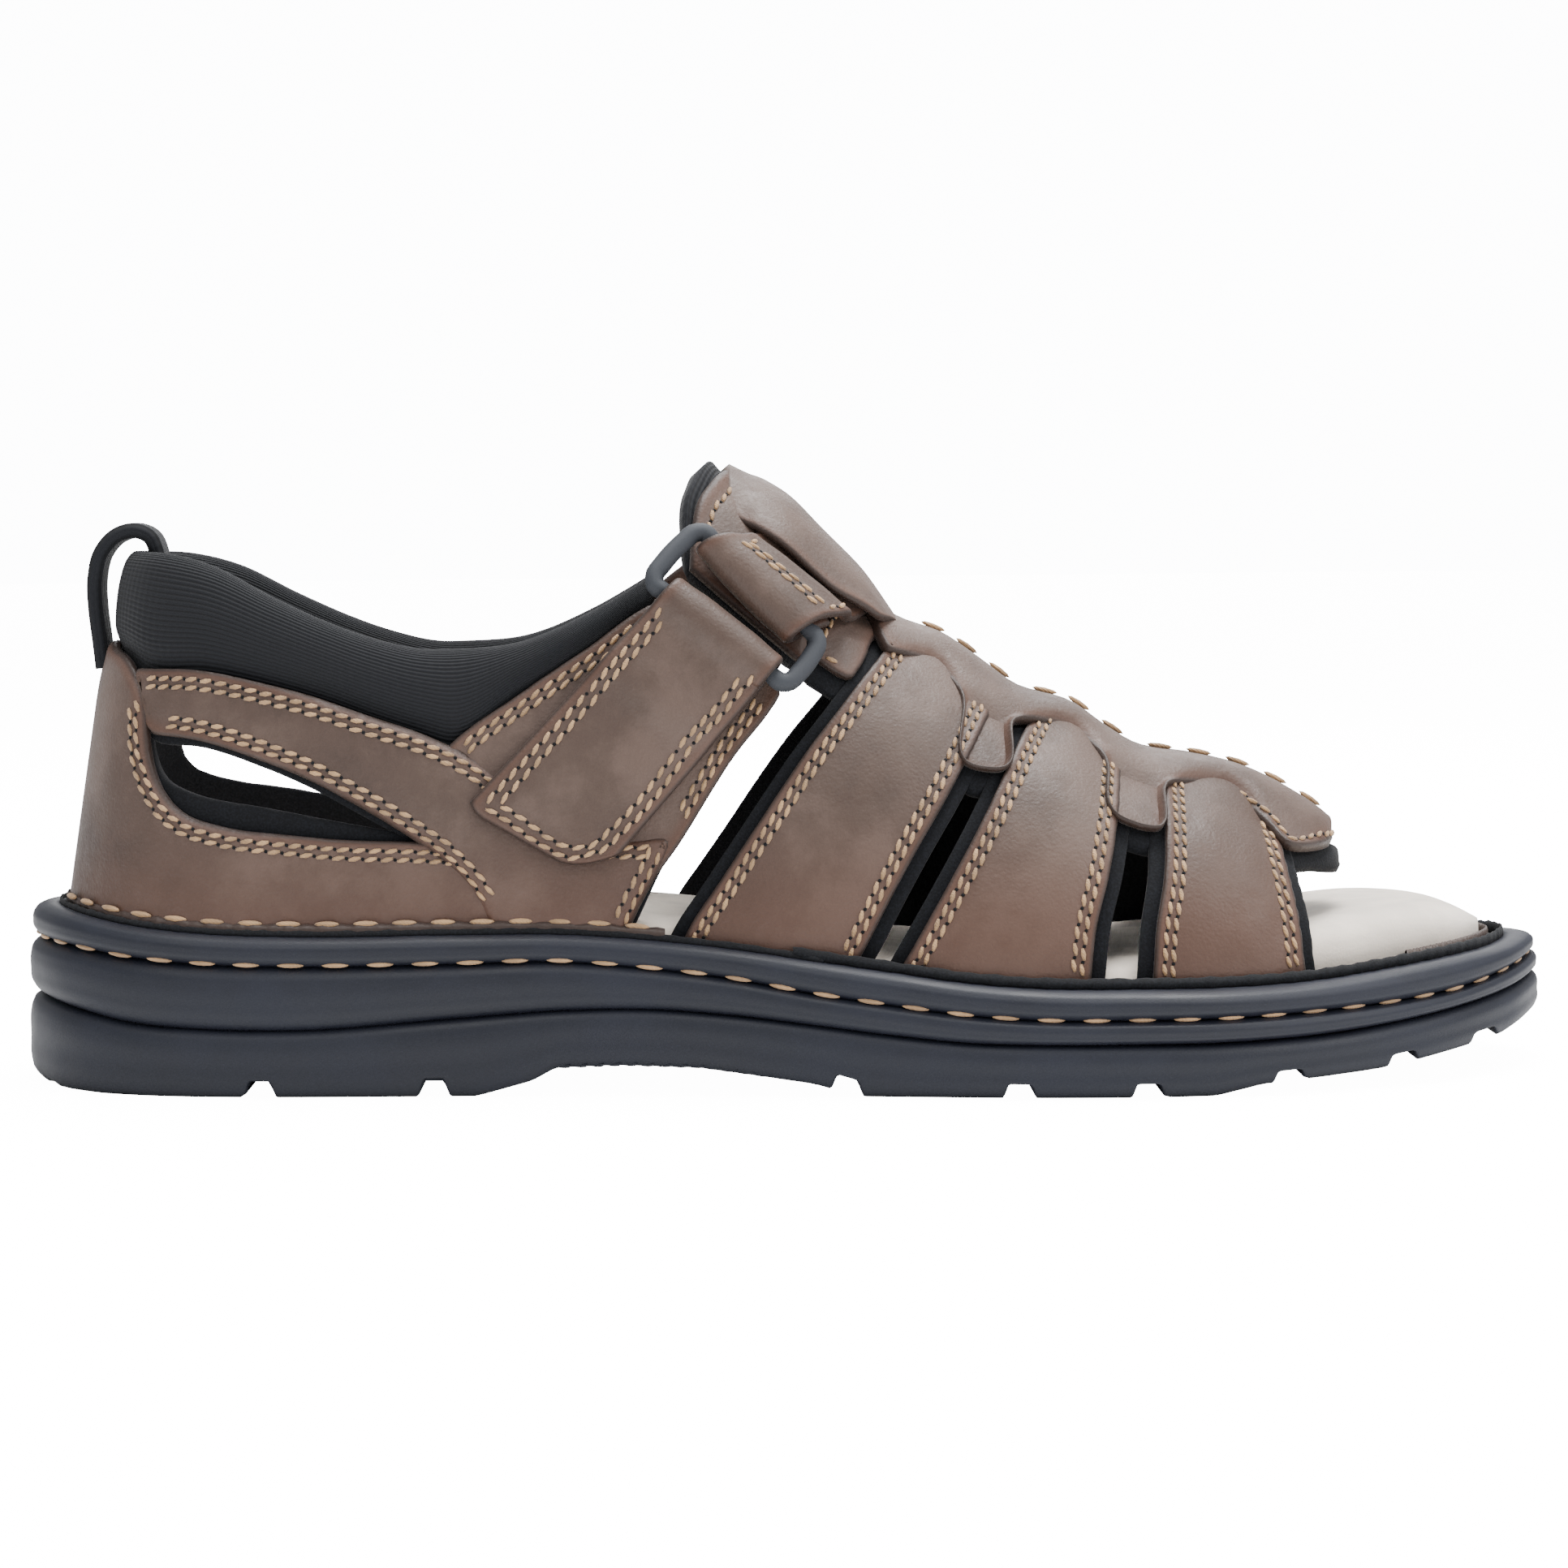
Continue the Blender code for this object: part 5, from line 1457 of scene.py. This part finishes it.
def strap_piece(name, path, width, place, finish_, ends=None, replaces=None, crown=0.0003):
    rows = 34
    across = 0.5 - 0.5 * np.cos(np.linspace(0, pi, rows + 1))
    steps = np.gradient(path, axis=0)
    steps /= np.linalg.norm(steps, axis=1, keepdims=True)
    run_far = np.concatenate([[0], np.cumsum(np.linalg.norm(np.diff(path, axis=0), axis=1))])
    to_end = run_far[-1] - run_far
    free_from = len(path) // 3

    def spot(u, v, k):
        i = np.round(u * (len(path) - 1)).astype(int)
        side = across[np.round(v * rows).astype(int)]
        away = np.minimum(np.minimum(side, 1 - side) * width, to_end[i] + 1e-9)
        half = STRAP / 2 * rounded(away, 0.0010) + crown * ease(0.002, 0.008, away) * (k > 0.5)
        out = (2 * k - 1) * half
        run = path[i, 0] - steps[i, 1] * out
        if ends:
            run = np.where(i > free_from, run * ends(side), run)
        return place(run, side, path[i, 1] + steps[i, 0] * out)

    def rim(u, v):
        i = np.round(u * (len(path) - 1)).astype(int)
        side = across[np.round(v * rows).astype(int)]
        return np.minimum(np.minimum(side, 1 - side) * width, to_end[i])
    return shaped(name, thick(sheet_grid(len(path) - 1, rows)), spot, finish_, "leather", replaces, rim=rim)


def surface(made):
    return BVHTree.FromPolygons([Vector(p) for p in corners(made.data)],
                                [tuple(f.vertices) for f in made.data.polygons])


def flap_end(across):
    front = np.maximum(0, (across - 0.70) / 0.30)
    rear = np.maximum(0, (0.15 - across) / 0.15)
    return 1 - 0.13 * front ** 2 - 0.03 * rear ** 2


def make_closure_strap(look):
    """Wide strap folded round the ring, its free end rounded, sewn all round."""
    outer = [(0.0085, SECOND_LAYER + 0.0010), (0.014, SECOND_LAYER), (0.019, SECOND_LAYER),
             (0.027, LAYER + 0.0003)]
    outer += [(0.027 + (FLAP_LENGTH - 0.027) * i / 5, LAYER) for i in range(1, 6)]
    made = strap_piece("closure_strap_leather", folded_path(FLAP_TUCK, outer), FLAP_WIDTH, flap_place,
                       look["leather"], flap_end, "closure_strap")
    tree = surface(made)
    rows = []
    for inset in (0.0022, 0.0039):
        share_in = inset / FLAP_WIDTH
        start, stop = 0.0065 + inset - 0.0022, FLAP_LENGTH - inset
        corner = 0.10
        route = [(start, share_in), (stop * 0.5, share_in), (stop, share_in), (stop, share_in + corner),
                 (stop, 1 - share_in - corner), (stop - 0.001, 1 - share_in - 0.03), (stop * 0.9, 1 - share_in),
                 (stop * 0.5, 1 - share_in), (start, 1 - share_in)]
        for stretch in (route[:3], route[2:]):
            dense = curve_through(np.array(stretch) * (1, FLAP_WIDTH), 0.0008) / (1, FLAP_WIDTH)
            line = flap_place(dense[:, 0] * flap_end(dense[:, 1]), dense[:, 1],
                              np.full(len(dense), SECOND_LAYER + 0.003))
            places, along = evenly(line, bpy.context.scene.sandal.pitch, 0.0004, 0.0004)
            rows.append((places, along, tree))
    stitches("closure_stitches", rows, look["thread"], "leather")


def make_instep_strap(look):
    """Strap from the ring over the instep, under the tongue's keeper, down to the inner quarter."""
    low = 1.5 * GAP + STRAP / 2
    outer = [(0.0094, SECOND_LAYER + GAP), (0.0104, SECOND_LAYER)]
    outer += [(0.013 + (BRACE_LENGTH - 0.013) * i / 14, low if i < 9 else LAYER) for i in range(15)]
    made = strap_piece("instep_strap_leather", folded_path(BRACE_TUCK, outer), BRACE_WIDTH, brace_place,
                       look["leather"], None, "instep_strap")
    tree = surface(made)
    rows = []
    routes = [[(run, 0.09), (run, 0.5), (run, 0.91)] for run in (0.0062, 0.0079)]
    routes += [[(0.0078, side), (0.0095, side), (0.0125, side)] for side in (0.09, 0.91)]
    routes += [[(0.0175, side), (0.035, side), (0.098, side)] for side in (0.085, 0.15, 0.85, 0.915)]
    routes += [[(run, 0.15), (run, 0.5), (run, 0.85)] for run in (0.0975, 0.0955)]
    for route in routes:
        dense = curve_through(np.array(route) * (1, BRACE_WIDTH), 0.0008) / (1, BRACE_WIDTH)
        over = np.where(dense[:, 0] < 0.0135, 0.0085, SECOND_LAYER + 0.002)
        line = brace_place(dense[:, 0], dense[:, 1], over)
        places, along = evenly(line, bpy.context.scene.sandal.pitch, 0.0004, 0.0004)
        rows.append((places, along, tree))
    stitches("instep_stitches", rows, look["thread"], "leather")


RING_OVERHANG = 0.15


def make_ring(look):
    """Moulded ring: two bars in the straps' folds, joined round their ends."""
    bar = np.linspace(0, 1, 13)
    ends = ((1 + RING_OVERHANG * 0.55, 0), (1 + RING_OVERHANG * 0.90, 0.10), (1 + RING_OVERHANG, 0.28))
    half = [(across, 0.0) for across in bar] + list(ends) + [(across, 1 - part) for across, part in ends[::-1]]
    route = np.array(half + [(1 - across, 1 - part) for across, part in half])
    near = flap_place(np.full(len(route), BAR_BACK), route[:, 0], BAR_LIFT)
    far = brace_place(np.full(len(route), BAR_BACK), route[:, 0], BAR_LIFT)
    line = near + (far - near) * route[:, 1:]
    loop = curve_through(np.concatenate([line[-3:], line, line[:3]]), 0.0008)
    gaps = np.linalg.norm(loop - line[0], axis=1)
    first = int(np.argmin(gaps[:len(loop) // 3]))
    last = len(loop) // 2 + int(np.argmin(gaps[len(loop) // 2:]))
    loop = loop[first:last]
    sides = (near[:13].mean(axis=0) + far[:13].mean(axis=0)) / 2
    away = np.linalg.norm(loop - sides, axis=1)
    swell = 1 + 0.42 * ease(FLAP_WIDTH * 0.46, FLAP_WIDTH * 0.60, away)
    tube("ring_bar", loop, RING_BAR / 2, look["ring"], "ring_plastic", "ring", closed=True, swell=swell)


TONGUE_EDGE = table(
    "climb along",
    (0.510, 0.4375), (0.550, 0.4385), (0.640, 0.4420), (0.770, 0.4530), (0.890, 0.4610), (1, 0.4655),
    (1.110, 0.4610), (1.230, 0.4530), (1.360, 0.4420), (1.450, 0.4385), (1.490, 0.4375))
TONGUE_FRONT = 0.511
TONGUE_PADDING = 0.0042
BRIDGE_EDGE = 0.715
KEEPER_LIFT = 0.0032
BRIDGE = table("part along lift", (0, 0.4625, -0.62), (0.12, 0.4710, -0.10), (0.24, 0.478, 0.42), (0.34, 0.489, 0.88),
               (0.50, 0.510, 1.02), (0.80, 0.545, 0.92), (0.90, 0.557, 0.66), (1, 0.568, 0.30))
TONGUE_ROWS = 26


def make_tongue(look):
    """Leather tongue with its keeper bridge raised over the instep strap, on a black pad."""
    low, high = TONGUE_EDGE["climb"][0], TONGUE_EDGE["climb"][-1]

    def saddle(u, v, k):
        spread = 0.5 - 0.5 * np.cos(u * pi)
        climb = low + (high - low) * spread
        rear = smooth(TONGUE_EDGE, "along", climb, "climb")
        part = v ** 1.7
        away = np.minimum((TONGUE_FRONT - rear) * part * LENGTH, np.minimum(spread, 1 - spread) * 0.075)
        full = rounded(away, 0.0011)
        swell = 0.0006 * ease(0.001, 0.008, away) - 0.00025 * np.exp(-((away - 0.0024) / 0.0010) ** 2)
        lift = np.where(k > 0.5, -LEATHER * (1 - full) * 0.6 + swell + 0.0002, -LEATHER + 0.0003 * (1 - full))
        return on_last(at_share(rear + (TONGUE_FRONT - rear) * part, climb), lift)

    def saddle_rim(u, v):
        spread = 0.5 - 0.5 * np.cos(u * pi)
        rear = smooth(TONGUE_EDGE, "along", low + (high - low) * spread, "climb")
        return np.minimum((TONGUE_FRONT - rear) * v ** 1.7 * LENGTH, np.minimum(spread, 1 - spread) * 0.075)

    def bridge(u, v, k):
        spread = 0.5 - 0.5 * np.cos(u * pi)
        narrow = (1 - 0.34 * ease(0.55, 1.0, v)) * np.sqrt(1 - 0.8 * ease(0.84, 1.0, v))
        climb = 1 + (1 - BRIDGE_EDGE) * (2 * spread - 1) * narrow
        away = np.minimum(np.minimum(spread, 1 - spread) * 0.042, (1 - v) * 0.032)
        full = rounded(away, 0.0010)
        rise = smooth(BRIDGE, "lift", v, "part") * KEEPER_LIFT
        lift = rise + LEATHER / 2 + (k - 0.5) * LEATHER * full + 0.0005 * ease(0.002, 0.010, away) * (k > 0.5)
        return on_last(at_share(smooth(BRIDGE, "along", v, "part"), climb), lift)

    def bridge_rim(u, v):
        spread = 0.5 - 0.5 * np.cos(u * pi)
        return np.minimum(np.minimum(spread, 1 - spread) * 0.042, (1 - v) * 0.032)

    def pad(u, v, k):
        climb = low + (high - low) * u
        rear = smooth(TONGUE_EDGE, "along", climb, "climb") - 0.0068 * np.sin(pi * u) ** 0.7 - 0.001
        full = rounded(np.minimum(v, 1 - v) * 0.030 + np.minimum(u, 1 - u) * 0.06, 0.0030)
        lift = -LEATHER - GAP - TONGUE_PADDING / 2 + (k - 0.5) * TONGUE_PADDING * full
        return on_last(at_share(rear + (TONGUE_FRONT - 0.004 - rear) * v, climb), lift)
    made = shaped("tongue_leather", thick(sheet_grid(96, TONGUE_ROWS)), saddle, look["leather"], "leather",
                  "tongue", rim=saddle_rim)
    shaped("tongue_keeper", thick(sheet_grid(48, 48)), bridge, look["leather"], "leather",
           rim=bridge_rim)
    soft = shaped("tongue_padding", thick(sheet_grid(96, 28)), pad, look["knit"], "knit", "tongue_pad",
                  cloth=lambda u, v: (u * 0.09, v * 0.025))
    tree = surface(made)
    climbs = np.linspace(low + 0.035, high - 0.035, 160)
    line = on_last(at_share(smooth(TONGUE_EDGE, "along", climbs, "climb") + 0.0080, climbs), 0.002)
    places, along = evenly(line, bpy.context.scene.sandal.pitch)
    rows = [(places, along, tree)]
    stitches("tongue_stitches", rows, look["thread"], "leather")


LOOP = ((0.01578, 0.780), (0.01520, 0.835), (0.01455, 0.893), (0.01450, 0.951), (0.01580, 1.000),
        (0.01900, 1.033), (0.02270, 1.041), (0.02540, 1.029), (0.02662, 1.003), (0.02670, 0.940))


LOOP_THICKNESS = 0.0030


def make_pull_loop(look):
    """Woven loop from the collar's back over its top."""
    line = curve_through([(fore - LENGTH / 2, up * COLLAR_HEIGHT) for fore, up in LOOP], 0.0008)
    steps = np.gradient(line, axis=0)
    steps /= np.linalg.norm(steps, axis=1, keepdims=True)
    count = len(line) - 1

    def strip(u, v, k):
        i = np.round(u * count).astype(int)
        side = (0.5 - 0.5 * np.cos(v * pi) - 0.5) * LOOP_WIDTH
        full = rounded(LOOP_WIDTH / 2 - np.abs(side), 0.0008)
        out = (k - 0.5) * LOOP_THICKNESS * full
        return np.stack([line[i, 0] - steps[i, 1] * out, side, line[i, 1] + steps[i, 0] * out], -1)
    shaped("pull_loop_webbing", thick(sheet_grid(count, 14)), strip, look["webbing"], "webbing", "pull_loop",
           cloth=lambda u, v: (u * 0.040, v * LOOP_WIDTH))


# Margins where the upper meets the unit
def bead(name, high, inset, height, radius, finish_, slot, wave=0.0, around=10, toe=False):
    """Rolled margin along the rand, round the heel as far as a share of the length, or round the toe."""
    length = 260

    def place(u, v, k):
        walk = (2 * u - 1)
        a = np.abs(walk) ** 1.6 * high
        a = 1 - a if toe else a
        side = np.where(walk < 0, -1, 1)
        x, y = plan(a, side, inset)
        turned = v * 2 * pi
        ripple = 1 + wave * np.sin(u * 520) + wave * 0.6 * np.sin(u * 233)
        rise = np.sin(turned) * radius * ripple
        return np.stack([x, y + side * np.cos(turned) * radius * 1.5 * ripple,
                         seam("rand", x) + height + rise], -1)
    return shaped(name, sheet_grid(length, around), place, finish_, slot)


def make_margins(look):
    """Rolled leather margin at heel and quarters, the dark lip under the straps, and their big stitches."""
    bead("dark_lip", 0.52, RAND_WIDTH - 0.0022, 0.0001, 0.0009, look["lining"], "leather", 0.10)
    bead("toe_lip", 0.50, RAND_WIDTH - 0.0014, 0.0006, 0.0012, look["lining"], "leather", 0.10, toe=True)
    bead("toe_margin", 0.075, RAND_WIDTH + 0.0016, 0.0006, 0.0013, look["leather"], "leather", 0.05, toe=True)
    bead("leather_margin", 0.415, RAND_WIDTH - 0.0008, 0.0010, 0.0011, look["leather"], "leather", 0.12)
    work = bmesh.new()
    for side in (-1, 1):
        a = np.linspace(0.006, 0.41, 400)
        x, y = plan(a, side, RAND_WIDTH - 0.0016)
        line = np.stack([x, y, seam("rand", x) + 0.0021], -1)
        places, along = evenly(line, 0.0072)
        for place, run in zip(places, along):
            run = Vector(run)
            out = run.cross(Vector((0, 0, 1))).normalized()
            turned = Matrix((run * 0.0024, out * 0.0007, out.cross(run) * 0.0006)).transposed().to_4x4()
            turned.translation = Vector(place)
            bmesh.ops.create_uvsphere(work, u_segments=8, v_segments=6, radius=1, matrix=turned)
    keep("margin_stitches", work, look["thread"], "leather")


class SANDAL_OT_stage(bpy.types.Operator):
    """Camera, floor and lights"""
    bl_idname = "sandal.stage"
    bl_label = "Stage"

    def execute(self, context):
        make_stage()
        return {"FINISHED"}


class SANDAL_OT_outsole(bpy.types.Operator):
    """Treaded rubber outsole with its arch ribs"""
    bl_idname = "sandal.outsole"
    bl_label = "Outsole"

    def execute(self, context):
        look = finishes()
        make_outsole(look)
        make_arch_ribs(look)
        return {"FINISHED"}


class SANDAL_OT_midsole(bpy.types.Operator):
    """Rubber midsole"""
    bl_idname = "sandal.midsole"
    bl_label = "Midsole"

    def execute(self, context):
        look = finishes()
        make_midsole(look)
        return {"FINISHED"}


class SANDAL_OT_welt(bpy.types.Operator):
    """Rubber welt and its long stitches"""
    bl_idname = "sandal.welt"
    bl_label = "Welt"

    def execute(self, context):
        look = finishes()
        make_welt(look)
        make_welt_stitches(look)
        return {"FINISHED"}


class SANDAL_OT_footbed(bpy.types.Operator):
    """Suede cushion that fills the rand"""
    bl_idname = "sandal.footbed"
    bl_label = "Footbed"

    def execute(self, context):
        look = finishes()
        make_footbed(look)
        return {"FINISHED"}


class SANDAL_OT_linings(bpy.types.Operator):
    """Padded lining of the heel and the quarters"""
    bl_idname = "sandal.linings"
    bl_label = "Linings"

    def execute(self, context):
        look = finishes()
        make_rear_lining(look)
        return {"FINISHED"}


class SANDAL_OT_straps(bpy.types.Operator):
    """Three straps over the forefoot, lined and sewn"""
    bl_idname = "sandal.straps"
    bl_label = "Straps"

    def execute(self, context):
        look = finishes()
        make_straps(look)
        return {"FINISHED"}


class SANDAL_OT_counter(bpy.types.Operator):
    """Panel round the heel"""
    bl_idname = "sandal.counter"
    bl_label = "Heel Counter"

    def execute(self, context):
        look = finishes()
        make_counter(look)
        return {"FINISHED"}


class SANDAL_OT_quarters(bpy.types.Operator):
    """Base panel and band of each side"""
    bl_idname = "sandal.quarters"
    bl_label = "Quarters"

    def execute(self, context):
        look = finishes()
        make_quarters(look)
        return {"FINISHED"}


class SANDAL_OT_margins(bpy.types.Operator):
    """Rolled margins on the rand and their stitches"""
    bl_idname = "sandal.margins"
    bl_label = "Margins"

    def execute(self, context):
        look = finishes()
        make_margins(look)
        return {"FINISHED"}


class SANDAL_OT_collar(bpy.types.Operator):
    """Padded knit collar"""
    bl_idname = "sandal.collar"
    bl_label = "Collar"

    def execute(self, context):
        look = finishes()
        make_collar(look)
        return {"FINISHED"}


class SANDAL_OT_tongue(bpy.types.Operator):
    """Tongue, its keeper and its pad"""
    bl_idname = "sandal.tongue"
    bl_label = "Tongue"

    def execute(self, context):
        look = finishes()
        make_tongue(look)
        return {"FINISHED"}


class SANDAL_OT_instep_strap(bpy.types.Operator):
    """Strap folded round the ring and led over the instep"""
    bl_idname = "sandal.instep_strap"
    bl_label = "Instep Strap"

    def execute(self, context):
        look = finishes()
        make_instep_strap(look)
        return {"FINISHED"}


class SANDAL_OT_closure_strap(bpy.types.Operator):
    """Wide strap with a rounded end"""
    bl_idname = "sandal.closure_strap"
    bl_label = "Closure Strap"

    def execute(self, context):
        look = finishes()
        make_closure_strap(look)
        return {"FINISHED"}


class SANDAL_OT_ring(bpy.types.Operator):
    """Plastic ring in the folds of both straps"""
    bl_idname = "sandal.ring"
    bl_label = "Ring"

    def execute(self, context):
        look = finishes()
        make_ring(look)
        return {"FINISHED"}


class SANDAL_OT_pull_loop(bpy.types.Operator):
    """Woven loop over the collar's back"""
    bl_idname = "sandal.pull_loop"
    bl_label = "Pull Loop"

    def execute(self, context):
        look = finishes()
        make_pull_loop(look)
        return {"FINISHED"}


class SANDAL_OT_spine(bpy.types.Operator):
    """Arched strap along the ridge"""
    bl_idname = "sandal.spine"
    bl_label = "Spine"

    def execute(self, context):
        look = finishes()
        make_spine(look)
        return {"FINISHED"}


OPERATORS = (
    SANDAL_OT_stage,
    SANDAL_OT_outsole,
    SANDAL_OT_midsole,
    SANDAL_OT_welt,
    SANDAL_OT_footbed,
    SANDAL_OT_linings,
    SANDAL_OT_straps,
    SANDAL_OT_counter,
    SANDAL_OT_quarters,
    SANDAL_OT_margins,
    SANDAL_OT_collar,
    SANDAL_OT_tongue,
    SANDAL_OT_instep_strap,
    SANDAL_OT_closure_strap,
    SANDAL_OT_ring,
    SANDAL_OT_pull_loop,
    SANDAL_OT_spine,
)


class SANDAL_PT_pieces(bpy.types.Panel):
    """Lists the sandal's finishes and pieces"""
    bl_label = "Fisherman Sandal"
    bl_space_type = "VIEW_3D"
    bl_region_type = "UI"
    bl_category = "Sandal"

    def draw(self, context):
        for name in SandalFinish.__annotations__:
            self.layout.prop(context.scene.sandal, name)
        for made in OPERATORS:
            self.layout.operator(made.bl_idname)


def register():
    for made in (SandalFinish, *OPERATORS, SANDAL_PT_pieces):
        bpy.utils.register_class(made)
    bpy.types.Scene.sandal = PointerProperty(type=SandalFinish)


def unregister():
    del bpy.types.Scene.sandal
    for made in (SANDAL_PT_pieces, *reversed(OPERATORS), SandalFinish):
        bpy.utils.unregister_class(made)


def main():
    register()
    for made in OPERATORS:
        getattr(bpy.ops.sandal, made.bl_idname.split(".")[1])()


if __name__ == "__main__":
    main()
